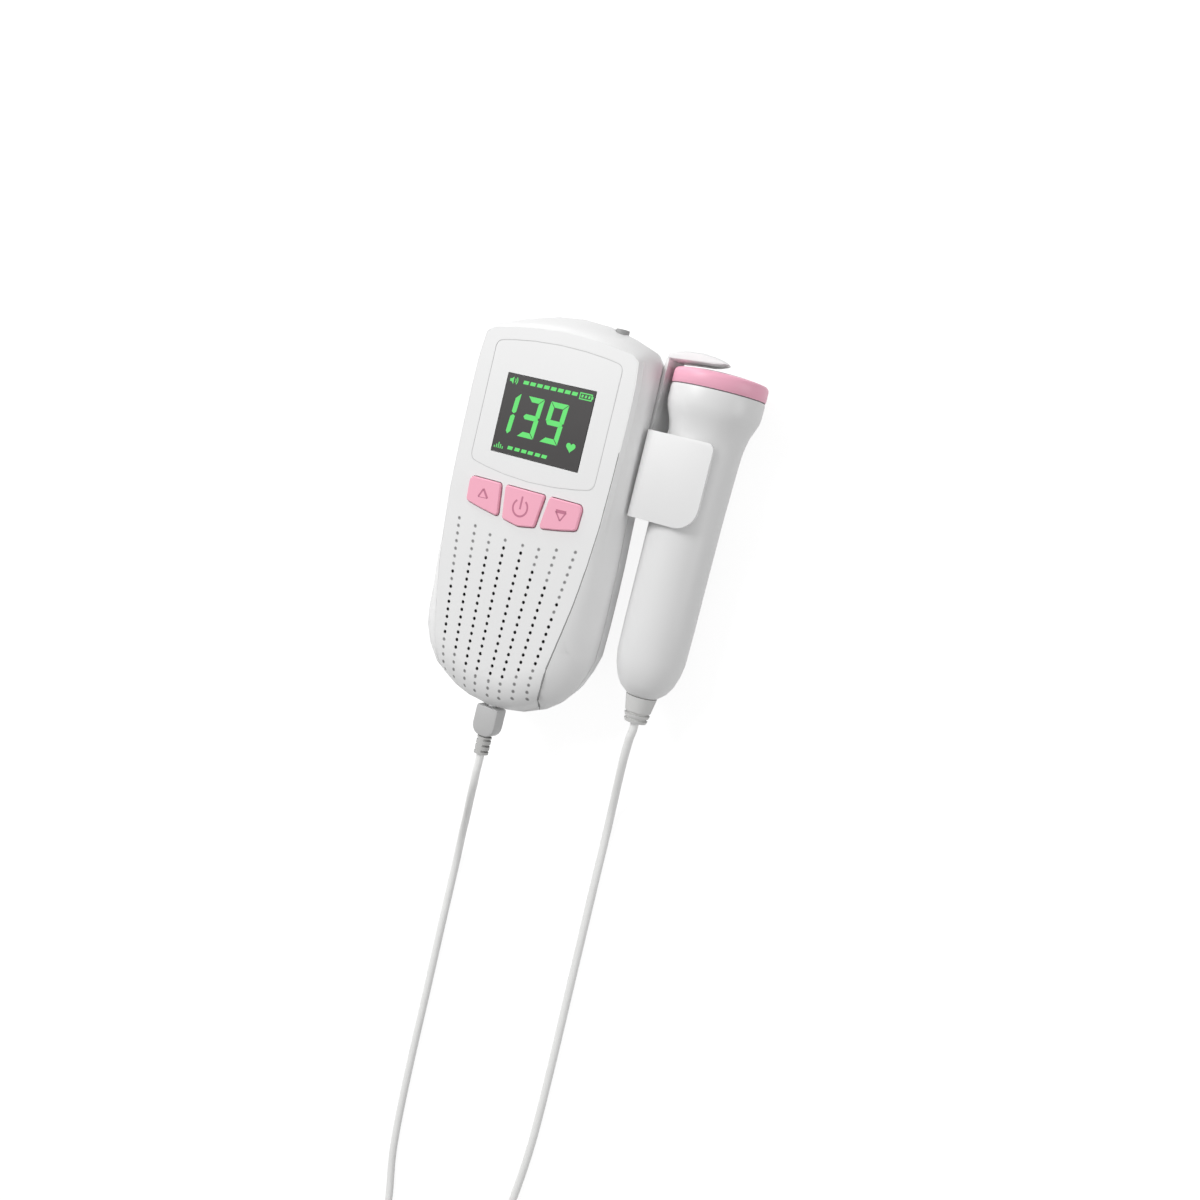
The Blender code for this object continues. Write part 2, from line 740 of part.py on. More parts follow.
def make_front_panel(surface):
    item = add_object("front_panel", sheet_mesh("front_panel", front_lines(), False), surface)
    thicken(item, PANEL_THICKNESS)
    inset = PANEL_REVEAL + GAP
    keep = prism_mesh("panel_plan", panel_outline(inset), -OVERRUN, SEAM_DEPTH + OVERRUN)
    boolean(item, cutter("panel_plan", keep), "INTERSECT", "MANIFOLD")
    room = prism_mesh("ledge_room", ledge_outline(GAP), PANEL_THICKNESS - GAP / 2, SEAM_DEPTH)
    boolean(item, cutter("ledge_room", room), "DIFFERENCE", "MANIFOLD")
    boolean(item, bpy.data.objects["below_seam"], "DIFFERENCE", "MANIFOLD")
    recess = prism_mesh("bezel_recess", bezel_outline(0), -OVERRUN, BEZEL_THICKNESS + GAP)
    boolean(item, cutter("bezel_recess", recess), "DIFFERENCE", "MANIFOLD")
    lip = SCREEN_LIP * 2
    window = rectangle(SCREEN_WIDTH - lip, SCREEN_HEIGHT - lip, SCREEN_LIP)
    opening = cutter("window", prism_mesh("window", window, -OVERRUN, PANEL_THICKNESS + OVERRUN))
    boolean(item, opening, "DIFFERENCE", "MANIFOLD")
    for kind in (-1, 0, 1):
        name = "button_hole_%d" % (kind + 2)
        hole = prism_mesh(name, offset(button_outline(kind), GAP), -OVERRUN, PANEL_THICKNESS + OVERRUN)
        boolean(item, cutter(name, hole), "DIFFERENCE", "MANIFOLD")
    boolean(item, cutter("speaker_holes", holes_mesh("speaker_holes")), "DIFFERENCE", "MANIFOLD")
    boolean(item, bpy.data.objects["socket_hole"], "DIFFERENCE", "MANIFOLD")
    return smooth(item)


def make_holes():
    """The bores for the headphone jack at the top end and the plug at the bottom end."""
    jack_spot = place(JACK_X, 0, BOARD_DEPTH + BOARD_THICKNESS + GAP + JACK_THICKNESS / 2)
    top = TOP_REACH + OVERRUN
    cutter("jack_hole", cylinder_mesh("jack_hole", jack_spot, ALONG, JACK_COLLAR_RADIUS + GAP,
                                      TOP_REACH - BOARD_TOP_MARGIN, top, 20))
    end = TOP_REACH - LENGTH
    cutter("socket_hole", cylinder_mesh("socket_hole", place(0, 0, SOCKET_DEPTH), ALONG, PIN_RADIUS + GAP * 3,
                                        end - OVERRUN, end + WALL + OVERRUN, 16))


def make_screen(white, clear, dark):
    outline = bezel_outline(GAP)
    bezel = add_object("screen_bezel", prism_mesh("screen_bezel", outline, 0, BEZEL_THICKNESS), white)
    window = rectangle(SCREEN_WIDTH, SCREEN_HEIGHT, SCREEN_LIP)
    opening = prism_mesh("screen_opening", window, -OVERRUN, BEZEL_THICKNESS + OVERRUN)
    boolean(bezel, cutter("screen_opening", opening))
    pane = rectangle(SCREEN_WIDTH - GAP * 2, SCREEN_HEIGHT - GAP * 2, SCREEN_LIP)
    add_object("screen_window", prism_mesh("screen_window", pane, 0, BEZEL_THICKNESS), clear)
    upper = PANEL_THICKNESS + GAP
    lower = BOARD_DEPTH - GAP
    body = rectangle(DISPLAY_WIDTH, DISPLAY_HEIGHT, SCREEN_LIP * 2)
    add_object("display_module", prism_mesh("display_module", body, upper, lower), dark)


def make_button(name, kind, surface):
    upper = PANEL_THICKNESS + GAP
    flange_end = upper + BUTTON_FLANGE_THICKNESS
    top = [(*spot, -BUTTON_PROUD) for spot in offset(button_outline(kind), -BUTTON_EDGE_RADIUS)]
    shoulder = [(*spot, BUTTON_EDGE_RADIUS - BUTTON_PROUD) for spot in button_outline(kind)]
    foot = [(*spot, upper) for spot in button_outline(kind)]
    flange = [(*spot, upper) for spot in offset(button_outline(kind), BUTTON_FLANGE)]
    flange_foot = [(*spot, flange_end) for spot in offset(button_outline(kind), BUTTON_FLANGE)]
    shape = bmesh.new()
    levels = (top, shoulder, foot, flange, flange_foot)
    rings = [[shape.verts.new(place(*p)) for p in ring] for ring in levels]
    shape.faces.new(rings[0])
    shape.faces.new(list(reversed(rings[-1])))
    for first, second in zip(rings, rings[1:]):
        join_rings(shape, first, second, len(first))
    item = add_object(name, mesh_from(name, shape), surface)
    x, y = button_centre(kind)
    stem_end = BOARD_DEPTH - SWITCH_HEIGHT - BUTTON_TRAVEL - GAP
    stem = cylinder_mesh("stem", place(x, y, 0), DOWN, STEM_RADIUS, flange_end - BUTTON_EDGE_RADIUS,
                         stem_end, 12)
    boolean(item, cutter(name + "_stem", stem), "UNION")
    smooth(item)
    return move_origin(item, place(x, y, 0))


def make_switch(name, kind, surface):
    x, y = button_centre(kind)
    half = SWITCH_SIZE / 2
    lower = BOARD_DEPTH - GAP
    body = box_mesh(name, (x - half, y - half, lower - SWITCH_HEIGHT * 0.7), (x + half, y + half, lower))
    item = add_object(name, body, surface)
    plunger = cylinder_mesh("plunger", place(x, y, 0), DOWN, STEM_RADIUS * 0.9, lower - SWITCH_HEIGHT + GAP,
                            lower - SWITCH_HEIGHT * 0.4, 12)
    return boolean(item, cutter(name + "_plunger", plunger), "UNION")


def make_board(surface, black):
    outline = rectangle(BOARD_HALF_WIDTH * 2, BOARD_TOP + BOARD_BOTTOM, SWITCH_SIZE / 3)
    middle = (BOARD_TOP - BOARD_BOTTOM) / 2
    moved = [(x, y + middle) for x, y in outline]
    board = prism_mesh("main_board", moved, BOARD_DEPTH, BOARD_DEPTH + BOARD_THICKNESS)
    add_object("main_board", board, surface)
    upper = BOARD_DEPTH + BOARD_THICKNESS + GAP
    end = jack_end()
    half = JACK_WIDTH / 2
    low = (JACK_X - half, end - JACK_LENGTH, upper)
    high = (JACK_X + half, end, upper + JACK_THICKNESS)
    jack = add_object("headphone_jack", box_mesh("headphone_jack", low, high), black)
    collar = cylinder_mesh("collar", place(JACK_X, 0, upper + JACK_THICKNESS / 2), ALONG, JACK_COLLAR_RADIUS,
                           end - JACK_LENGTH * 0.2, jack_wall() + JACK_COLLAR_PROUD, 20)
    boolean(jack, cutter("jack_collar", collar), "UNION")
    bore = cylinder_mesh("jack_bore", place(JACK_X, 0, upper + JACK_THICKNESS / 2), ALONG, JACK_BORE,
                         end - JACK_LENGTH * 0.9, TOP_REACH + OVERRUN, 12)
    boolean(jack, cutter("jack_bore", bore))


def jack_wall():
    """Where the top wall's outside is, beside the jack."""
    share = JACK_X / HALF_WIDTH
    stations = SEAM_LINE_SHARES
    for first, second in zip(stations, stations[1:]):
        if first[0] <= share <= second[0]:
            part = (share - first[0]) / (second[0] - first[0])
            return TOP_REACH - LENGTH * (first[1] + (second[1] - first[1]) * part)
    return TOP_REACH


def jack_end():
    """How far up the jack's body reaches: just inside the top wall."""
    return jack_wall() - WALL * 1.6 - GAP


def make_speaker(surface):
    start = PANEL_THICKNESS + GAP
    profile = [(0, start + SPEAKER_RIM * 1.5), (SPEAKER_RADIUS * 0.35, start + SPEAKER_RIM * 1.5),
               (SPEAKER_RADIUS * 0.88, start + SPEAKER_RIM * 0.6), (SPEAKER_RADIUS * 0.90, start),
               (SPEAKER_RADIUS, start), (SPEAKER_RADIUS, start + SPEAKER_RIM),
               (SPEAKER_RADIUS * 0.92, start + SPEAKER_RIM),
               (SPEAKER_RADIUS * 0.62, start + SPEAKER_DEPTH * 0.55),
               (SPEAKER_RADIUS * 0.55, start + SPEAKER_DEPTH * 0.55),
               (SPEAKER_RADIUS * 0.55, start + SPEAKER_DEPTH),
               (0, start + SPEAKER_DEPTH)]
    mesh = turned_mesh("speaker", profile, place(0, SPEAKER_Y, 0), DOWN, 32)
    return smooth(add_object("speaker", mesh, surface))


def door_box(name, margin, upper):
    """The block that the door is cut from, open past the bottom end."""
    half = DOOR_HALF_WIDTH + margin
    low = (-half, TOP_REACH - LENGTH - OVERRUN, upper)
    high = (half, DOOR_TOP + margin, THICKNESS + OVERRUN)
    return cutter(name, box_mesh(name, low, high))


def tray_box(margin):
    half = CELL_RADIUS * 2 + GAP + TRAY_WALL + margin
    reach = CONTACT_THICKNESS * 2 + CELL_NUB_LENGTH + GAP * 4 + TRAY_WALL + margin
    upper = cell_depth() - CELL_RADIUS - GAP - TRAY_WALL - margin
    lower = THICKNESS - DOOR_THICKNESS - GAP * 2
    return (-half, CELL_TOP - CELL_LENGTH - reach, upper), (half, CELL_TOP + reach, lower)


def cell_depth():
    return THICKNESS - DOOR_THICKNESS - GAP * 2 - CELL_RADIUS - TRAY_WALL


def make_rear_shell(surface):
    lines = rear_lines()
    item = add_object("rear_shell", sheet_mesh("rear_shell", lines, True), surface)
    thicken(item, WALL)
    boolean(item, seam_block("above_seam", -OVERRUN, SEAM_DEPTH + GAP))
    hull_shape = bmesh.new()
    rings = [[hull_shape.verts.new(place(*p)) for p in line] for line in offset_lines(lines)]
    for first, second in zip(rings, rings[1:]):
        join_rings(hull_shape, first, second, len(first))
    hull_shape.faces.new(rings[0])
    hull_shape.faces.new(list(reversed(rings[-1])))
    hull = cutter("hull", mesh_from("hull", hull_shape))
    for number, (x, y) in enumerate(post_places(), 1):
        start = SEAM_DEPTH + GAP * 2
        mesh = cylinder_mesh("post", place(x, y, 0), DOWN, POST_RADIUS, start, THICKNESS, 16)
        post = cutter("post_%d" % number, mesh)
        boolean(post, hull, "INTERSECT")
        boolean(item, post, "UNION")
        shank = SCREW_SHANK_RADIUS + GAP
        bore = turned_mesh("bore", [(0, start - OVERRUN), (shank, start - OVERRUN), (shank, SCREW_HEAD_DEPTH),
                                    (SCREW_HEAD_RADIUS + GAP, SCREW_HEAD_DEPTH),
                                    (SCREW_HEAD_RADIUS + GAP, THICKNESS + OVERRUN), (0, THICKNESS + OVERRUN)],
                           place(x, y, 0), DOWN, 16)
        boolean(item, cutter("screw_bore_%d" % number, bore))
    boolean(item, door_box("door_opening", GAP, THICKNESS - DOOR_THICKNESS - GAP))
    low, high = tray_box(-TRAY_WALL)
    bay = box_mesh("bay_opening", (low[0], low[1], high[2] - WALL),
                   (high[0], high[1], THICKNESS + OVERRUN))
    boolean(item, cutter("bay_opening", bay))
    pocket = box_mesh("clip_pocket", (CLIP_X - GAP, ARM_BOTTOM - GAP, SEAM_DEPTH - OVERRUN),
                      (HALF_WIDTH + OVERRUN, CLIP_TOP + GAP, THICKNESS + OVERRUN))
    boolean(item, cutter("clip_pocket", pocket))
    for number, y in enumerate(clip_screw_places(), 1):
        hole = cylinder_mesh("clip_bore", place(0, y, CLIP_SCREW_DEPTH), ACROSS,
                             SCREW_SHANK_RADIUS + GAP / 2, HALF_WIDTH * 0.8, HALF_WIDTH + OVERRUN, 12)
        boolean(item, cutter("clip_bore_%d" % number, hole))
    boolean(item, bpy.data.objects["jack_hole"])
    boolean(item, bpy.data.objects["socket_hole"])
    return smooth(item)


def offset_lines(lines):
    """The rear lines drawn in a little, so that the posts end inside the wall."""
    result = []
    for line in lines:
        wide = 1 - WALL / 2 / HALF_WIDTH
        long = 1 - WALL / LENGTH
        depth = min(line[0].z, THICKNESS - WALL / 2)
        result.append([Vector((p.x * wide, MIDDLE_Y + (p.y - MIDDLE_Y) * long, depth)) for p in line])
    return result


def make_battery_door(surface):
    item = add_object("battery_door", sheet_mesh("battery_door", rear_lines(), True), surface)
    thicken(item, WALL)
    block = door_box("door_block", 0, THICKNESS - DOOR_THICKNESS)
    boolean(item, block, "INTERSECT")
    smooth(item)
    return move_origin(item, place(0, DOOR_TOP, THICKNESS))


def make_battery_bay(black, steel, cell_colour):
    low, high = tray_box(0)
    tray = add_object("battery_tray", box_mesh("battery_tray", low, high), black)
    inner_low, inner_high = tray_box(-TRAY_WALL)
    pocket = box_mesh("tray_pocket", inner_low, (inner_high[0], inner_high[1], THICKNESS))
    boolean(tray, cutter("tray_pocket", pocket))
    for name, side in (("battery_left", -1), ("battery_right", 1)):
        profile = [(0, 0), (CELL_RADIUS * 0.93, 0), (CELL_RADIUS, CELL_RADIUS * 0.1),
                   (CELL_RADIUS, CELL_LENGTH - CELL_RADIUS * 0.1), (CELL_RADIUS * 0.93, CELL_LENGTH),
                   (CELL_NUB_RADIUS, CELL_LENGTH), (CELL_NUB_RADIUS, CELL_LENGTH + CELL_NUB_LENGTH),
                   (0, CELL_LENGTH + CELL_NUB_LENGTH)]
        axis = ALONG * side
        x = side * (CELL_RADIUS + GAP / 2)
        foot = CELL_TOP - CELL_LENGTH if side > 0 else CELL_TOP
        mesh = turned_mesh(name, profile, place(x, foot, cell_depth()), axis, 24)
        smooth(add_object(name, mesh, cell_colour))
    reach = CELL_NUB_LENGTH + GAP
    half = CELL_RADIUS * 1.7
    tall = CELL_RADIUS * 0.7
    bottom = CELL_TOP - CELL_LENGTH - reach - CONTACT_THICKNESS
    for name, start in (("contact_top", CELL_TOP + reach), ("contact_bottom", bottom)):
        low = (-half, start, cell_depth() - tall)
        high = (half, start + CONTACT_THICKNESS, cell_depth() + tall)
        add_object(name, box_mesh(name, low, high), steel)


def make_screws(steel):
    for number, (x, y) in enumerate(post_places(), 1):
        tip = SEAM_DEPTH * 0.55
        profile = [(0, tip), (SCREW_SHANK_RADIUS * 0.5, tip), (SCREW_SHANK_RADIUS, tip + SCREW_SHANK_RADIUS),
                   (SCREW_SHANK_RADIUS, SCREW_HEAD_DEPTH + GAP), (SCREW_HEAD_RADIUS, SCREW_HEAD_DEPTH + GAP),
                   (SCREW_HEAD_RADIUS, SCREW_HEAD_DEPTH + GAP + SCREW_HEAD_HEIGHT),
                   (0, SCREW_HEAD_DEPTH + GAP + SCREW_HEAD_HEIGHT)]
        mesh = turned_mesh("case_screw", profile, place(x, y, 0), DOWN, 16)
        smooth(add_object("case_screw_%d" % number, mesh, steel))
    for number, y in enumerate(clip_screw_places(), 1):
        face = CLIP_X + CLIP_THICKNESS + GAP
        tip = HALF_WIDTH * 0.84
        profile = [(0, tip), (SCREW_SHANK_RADIUS * 0.5, tip), (SCREW_SHANK_RADIUS, tip + SCREW_SHANK_RADIUS),
                   (SCREW_SHANK_RADIUS, face), (SCREW_HEAD_RADIUS, face),
                   (SCREW_HEAD_RADIUS * 0.8, face + SCREW_HEAD_HEIGHT * 0.6),
                   (0, face + SCREW_HEAD_HEIGHT * 0.7)]
        mesh = turned_mesh("clip_screw", profile, place(0, y, CLIP_SCREW_DEPTH), ACROSS, 16)
        smooth(add_object("clip_screw_%d" % number, mesh, steel))


def clip_screw_places():
    span = ARM_TOP - ARM_BOTTOM
    return [ARM_BOTTOM + span * 0.2, ARM_BOTTOM + span * 0.8]


def across_mesh(name, outline, low, high):
    """An outline of (x, depth) pairs carried along the monitor between two places."""
    shape = bmesh.new()
    first = [shape.verts.new(place(x, low, depth)) for x, depth in outline]
    second = [shape.verts.new(place(x, high, depth)) for x, depth in outline]
    shape.faces.new(first)
    shape.faces.new(list(reversed(second)))
    join_rings(shape, first, second, len(outline))
    return mesh_from(name, shape)


def make_probe_clip(surface):
    """The clip: a plate on the monitor's side, an arm over and one under the handle, and a hook."""
    outer = CLIP_X + CLIP_THICKNESS
    item = add_object("probe_clip", box_mesh("probe_clip", (CLIP_X, ARM_BOTTOM, CLIP_FRONT),
                                             (outer, CLIP_TOP, CLIP_BACK)), surface)
    bend = ARM_BEND
    start = CLIP_FRONT + CLIP_THICKNESS * 2
    arm = [(CLIP_X, start), (CLIP_X, CLIP_FRONT), (outer - GAP / 2, CLIP_FRONT),
           (CLIP_X + bend * 0.42, ARM_FRONT + bend * 0.22),
           (CLIP_X + bend * 0.66, ARM_FRONT + bend * 0.06),
           (CLIP_X + bend, ARM_FRONT), (ARM_REACH, ARM_FRONT), (ARM_REACH, ARM_FRONT + CLIP_THICKNESS),
           (CLIP_X + bend * 1.02, ARM_FRONT + CLIP_THICKNESS),
           (CLIP_X + bend * 0.78, ARM_FRONT + CLIP_THICKNESS * 1.3),
           (outer + bend * 0.24, CLIP_FRONT - bend * 0.25), (outer, CLIP_FRONT + CLIP_THICKNESS * 0.6),
           (outer, start)]
    front = cutter("front_arm", across_mesh("front_arm", arm, ARM_BOTTOM, ARM_TOP))
    tips = [(CLIP_X - OVERRUN, ARM_TOP), (CLIP_X - OVERRUN, ARM_BOTTOM), (ARM_REACH, ARM_BOTTOM),
            (ARM_REACH, ARM_TOP)]
    corners = corner_outline(tips, ARM_CORNER_BOTTOM, ARM_CORNER_TOP)
    boolean(front, cutter("arm_plan", prism_mesh("arm_plan", corners, -OVERRUN, CLIP_BACK)), "INTERSECT")
    boolean(item, front, "UNION")
    rear = PROBE_DEPTH * 2 - ARM_FRONT - CLIP_THICKNESS
    floor = rear + CLIP_THICKNESS
    hold = [(CLIP_X, CLIP_BACK - CLIP_THICKNESS), (outer, CLIP_BACK - CLIP_THICKNESS), (outer, rear),
            (REAR_ARM_REACH, rear), (REAR_ARM_REACH, floor), (CLIP_X, floor)]
    low = ARM_BOTTOM + CLIP_THICKNESS
    back = cutter("rear_arm", across_mesh("rear_arm", hold, low, ARM_TOP - CLIP_THICKNESS))
    boolean(item, back, "UNION")
    boolean(item, make_hook(outer), "UNION")
    for number, y in enumerate(clip_screw_places(), 1):
        hole = cylinder_mesh("clip_hole", place(0, y, CLIP_SCREW_DEPTH), ACROSS,
                             SCREW_SHANK_RADIUS + GAP / 2, CLIP_X - OVERRUN, outer + OVERRUN, 12)
        boolean(item, cutter("clip_hole_%d" % number, hole))
    return smooth(item)


def corner_outline(points, lower, upper):
    """The front arm's plan, with a large round corner at the bottom and a small one at the top."""
    top_left, bottom_left, bottom_right, top_right = points
    result = [top_left, bottom_left]
    result += arc((bottom_right[0] - lower, bottom_right[1] + lower), lower, -90, 0, 6)
    result += arc((top_right[0] - upper, top_right[1] - upper), upper, 0, 90, 4)
    return result


# The hook's arch: shares of its reach, the height of its underside and of its back above the plate
HOOK_SHARES = [(0.0, 0.0, 0.45), (0.14, 0.02, 0.78), (0.34, 0.10, 1.0), (0.56, 0.16, 1.05),
               (0.76, 0.20, 0.92), (0.90, 0.30, 0.74), (0.98, 0.42, 0.58)]


def make_hook(outer):
    """The hook at the top of the plate, which arches over the face of the probe."""
    base = CLIP_TOP - HOOK_THICKNESS * 0.10
    reach = HOOK_REACH - CLIP_X
    under = [(CLIP_X + reach * share, base + HOOK_RISE * low) for share, low, high in HOOK_SHARES]
    crest = base + HOOK_THICKNESS * 0.10
    over = [(CLIP_X + reach * share, crest + HOOK_RISE * high) for share, low, high in HOOK_SHARES]
    tip = [(HOOK_REACH, (under[-1][1] + over[-1][1]) / 2)]
    root = base - HOOK_THICKNESS * 0.4
    foot = [(CLIP_X, root), (outer, root), (outer, base)]
    outline = foot + under[1:] + tip + list(reversed(over))
    inset = offset(outline, -HOOK_THICKNESS * 0.16)
    shape = bmesh.new()
    edge = HOOK_THICKNESS * 0.30
    half = (CLIP_FRONT + CLIP_BACK) / 2
    middle_share = (1 + HOOK_BACK_SHARE) / 2 + (1 - HOOK_BACK_SHARE) * 0.22
    rows = [(inset, CLIP_FRONT, 1), (outline, CLIP_FRONT + edge, 1), (outline, half, middle_share),
            (outline, CLIP_BACK - edge, HOOK_BACK_SHARE), (inset, CLIP_BACK, HOOK_BACK_SHARE)]
    rings = []
    for row, depth, share in rows:
        drawn = [(x if x < outer else outer + (x - outer) * share, y) for x, y in row]
        rings.append([shape.verts.new(place(x, y, depth)) for x, y in drawn])
    shape.faces.new(rings[0])
    shape.faces.new(list(reversed(rings[-1])))
    for first, second in zip(rings, rings[1:]):
        join_rings(shape, first, second, len(first))
    return cutter("hook", mesh_from("hook", shape))


def make_socket(black):
    end = TOP_REACH - LENGTH + WALL + GAP * 4
    half = SOCKET_WIDTH / 2
    tall = SOCKET_HEIGHT / 2
    low = (-half, end, SOCKET_DEPTH - tall)
    high = (half, end + SOCKET_LENGTH, SOCKET_DEPTH + tall)
    item = add_object("probe_socket", box_mesh("probe_socket", low, high), black)
    bore = cylinder_mesh("socket_bore", place(0, end, SOCKET_DEPTH), ALONG, PIN_RADIUS + GAP / 2,
                         -OVERRUN, PIN_LENGTH - WALL, 16)
    return boolean(item, cutter("socket_bore", bore))


def plug_face():
    return TOP_REACH - LENGTH - GAP * 2


def make_plug(surface, steel):
    """The plug: a moulded body with a rounded end, its pin and its slotted strain relief."""
    face = plug_face()
    half = PLUG_WIDTH / 2
    end = face - PLUG_LENGTH
    corner = PLUG_WIDTH * PLUG_ROUND_SHARE
    outline = [(-half, face), (half, face)]
    outline += arc((half - corner, end + corner), corner, 0, -90, 5)
    outline += arc((-half + corner, end + corner), corner, -90, -180, 5)
    tall = PLUG_THICKNESS / 2
    block = prism_mesh("plug_body", outline, SOCKET_DEPTH - tall, SOCKET_DEPTH + tall)
    body = add_object("plug_body", block, surface)
    bevel(body, PLUG_THICKNESS * 0.16)
    spot = place(0, face, SOCKET_DEPTH)
    pin = [(0, -OVERRUN), (PIN_RADIUS, -OVERRUN), (PIN_RADIUS, PIN_LENGTH * 0.78),
           (PIN_RADIUS * 0.7, PIN_LENGTH * 0.84), (PIN_RADIUS * 0.9, PIN_LENGTH * 0.9),
           (PIN_RADIUS * 0.3, PIN_LENGTH), (0, PIN_LENGTH)]
    hole = cylinder_mesh("plug_bore", spot, ALONG, PIN_RADIUS + GAP / 2, -OVERRUN - GAP, OVERRUN, 16)
    boolean(body, cutter("plug_bore", hole))
    smooth(body)
    move_origin(body, spot)
    tip = smooth(add_object("plug_pin", turned_mesh("plug_pin", pin, spot, ALONG, 16), steel))
    move_origin(tip, spot)
    relief_mesh = turned_mesh("plug_relief", relief_profile(PLUG_RELIEF_RADIUS, PLUG_RELIEF_LENGTH, 0, 1.0),
                              place(0, end - GAP, SOCKET_DEPTH), -ALONG, 20)
    relief = add_object("plug_relief", relief_mesh, surface)
    near = PLUG_RELIEF_RADIUS * (1 - PLUG_SLOT_DEPTH_SHARE)
    far = PLUG_RELIEF_RADIUS + OVERRUN
    for number in range(PLUG_SLOT_COUNT):
        top = end - GAP - PLUG_SLOT_HEIGHT * 0.7 - PLUG_SLOT_PITCH * number
        for label, side in (("left", -1), ("right", 1)):
            low = (min(near * side, far * side), top - PLUG_SLOT_HEIGHT, SOCKET_DEPTH - far)
            high = (max(near * side, far * side), top, SOCKET_DEPTH + far)
            name = "slot_%s_%d" % (label, number + 1)
            boolean(relief, cutter(name, box_mesh(name, low, high)))
    smooth(relief)
    move_origin(relief, spot)
    return body


def relief_profile(radius, length, grooves, taper):
    """A strain relief's profile, tapering to the cord, with ring grooves near its end."""
    profile = [(0, 0), (radius, 0)]
    pitch = length * 0.21
    first = length - pitch * grooves
    for number in range(grooves):
        run = first + pitch * number
        here = radius * (1 - (1 - taper) * run / length)
        neck = here * 0.76
        profile += [(here, run), (neck, run + pitch * 0.1), (neck, run + pitch * 0.4),
                    (here, run + pitch * 0.5)]
    return profile + [(radius * taper, length * 0.99), (radius * taper * 0.9, length), (0, length)]


# The handle's outline: shares of the head or handle radius, and places along it in shares of the
# length from the seam under the cap to the handle's end.
HEAD_SHARES = [(0.985, 0.0), (1.0, 0.012), (0.997, 0.052), (0.975, 0.072), (0.925, 0.092), (0.860, 0.117),
               (0.822, 0.145), (0.797, 0.175), (0.783, 0.222)]
HANDLE_SHARES = [(1.020, 0.31), (1.005, 0.41), (1.0, 0.55), (1.0, 0.76), (0.988, 0.87), (0.93, 0.912),
                 (0.82, 0.95), (0.67, 0.978), (0.50, 0.995)]


def handle_profile(inset, start):
    span = CAP_SEAM - HANDLE_END
    rows = [(HEAD_RADIUS * r - inset, CAP_SEAM - span * s) for r, s in HEAD_SHARES]
    rows += [(HANDLE_RADIUS * r - inset, CAP_SEAM - span * s) for r, s in HANDLE_SHARES]
    return [(r, min(y, start)) for r, y in rows]


def probe_spot():
    return place(PROBE_X, 0, PROBE_DEPTH)


def make_probe(white, pink, grey, black, brass, green):
    """The probe: its hollow handle, the cap with its domed face, and what they hold."""
    spot = probe_spot()
    outer = [(r, y) for r, y in handle_profile(0, CAP_SEAM - GAP)]
    inner = handle_profile(PROBE_WALL, CAP_SEAM - GAP)[:-2:2]
    bore = PROBE_RELIEF_RADIUS * 0.42
    end = HANDLE_END
    seat = inner[-1][1] - PROBE_WALL * 0.2
    profile = outer + [(PROBE_RELIEF_RADIUS, end), (bore, end), (bore, seat)] + list(reversed(inner))
    shell = smooth(add_object("probe_shell", turned_mesh("probe_shell", profile, spot, ALONG, 40), white))
    move_origin(shell, spot)
    rim = HEAD_RADIUS
    crown = CAP_CROWN
    rise = crown - CAP_RIM
    dome = [(rim * 0.985, CAP_SEAM), (rim, CAP_SEAM + GAP), (rim, CAP_RIM - rim * 0.075),
            (rim * 0.985, CAP_RIM - rim * 0.02), (rim * 0.94, CAP_RIM + rim * 0.018),
            (rim * 0.80, CAP_RIM + rise * 0.45), (rim * 0.55, CAP_RIM + rise * 0.78),
            (rim * 0.28, crown - rise * 0.06), (0, crown)]
    hollow = rim - CAP_WALL
    under = [(0, crown - CAP_WALL), (rim * 0.80, CAP_RIM - CAP_WALL), (hollow, CAP_RIM - CAP_WALL * 2),
             (hollow, CAP_SEAM)]
    cap = smooth(add_object("probe_cap", turned_mesh("probe_cap", dome + under, spot, ALONG, 40), pink), 50.0)
    move_origin(cap, spot)
    face = CAP_RIM - CAP_WALL - GAP
    for name, side in (("crystal_left", -1), ("crystal_right", 1)):
        outline = [(PROBE_X + side * x, PROBE_DEPTH + z) for x, z in half_disc(CRYSTAL_RADIUS)]
        crystal = add_object(name, across_mesh(name, outline, face - CRYSTAL_THICKNESS, face), brass)
        move_origin(crystal, spot)
    lower = face - CRYSTAL_THICKNESS - GAP
    seat = rim * HEAD_SHARES[0][0] - PROBE_WALL - GAP
    disc = cylinder_mesh("backing_disc", spot, ALONG, seat, lower - BACKING_THICKNESS, lower, 32)
    backing = smooth(add_object("backing_disc", disc, black))
    move_origin(backing, spot)
    half = HANDLE_RADIUS - PROBE_WALL - GAP * 1.5
    head = lower - BACKING_THICKNESS - GAP
    thin = BOARD_THICKNESS / 2
    low = (PROBE_X - half * 0.96, head - PROBE_BOARD_LENGTH, PROBE_DEPTH - thin)
    high = (PROBE_X + half * 0.96, head, PROBE_DEPTH + thin)
    board = add_object("probe_board", box_mesh("probe_board", low, high), green)
    move_origin(board, spot)
    relief = [(r, y) for r, y in relief_profile(PROBE_RELIEF_RADIUS, PROBE_RELIEF_LENGTH, 2, 0.70)]
    mesh = turned_mesh("probe_relief", relief, place(PROBE_X, HANDLE_END - GAP, PROBE_DEPTH), -ALONG, 24)
    item = smooth(add_object("probe_relief", mesh, grey))
    move_origin(item, spot)


def half_disc(radius):
    """Half of a round plate, cut off beside its middle."""
    chord = math.degrees(math.acos(CRYSTAL_SLOT / radius))
    return arc((0, 0), radius, -chord, chord, 12)


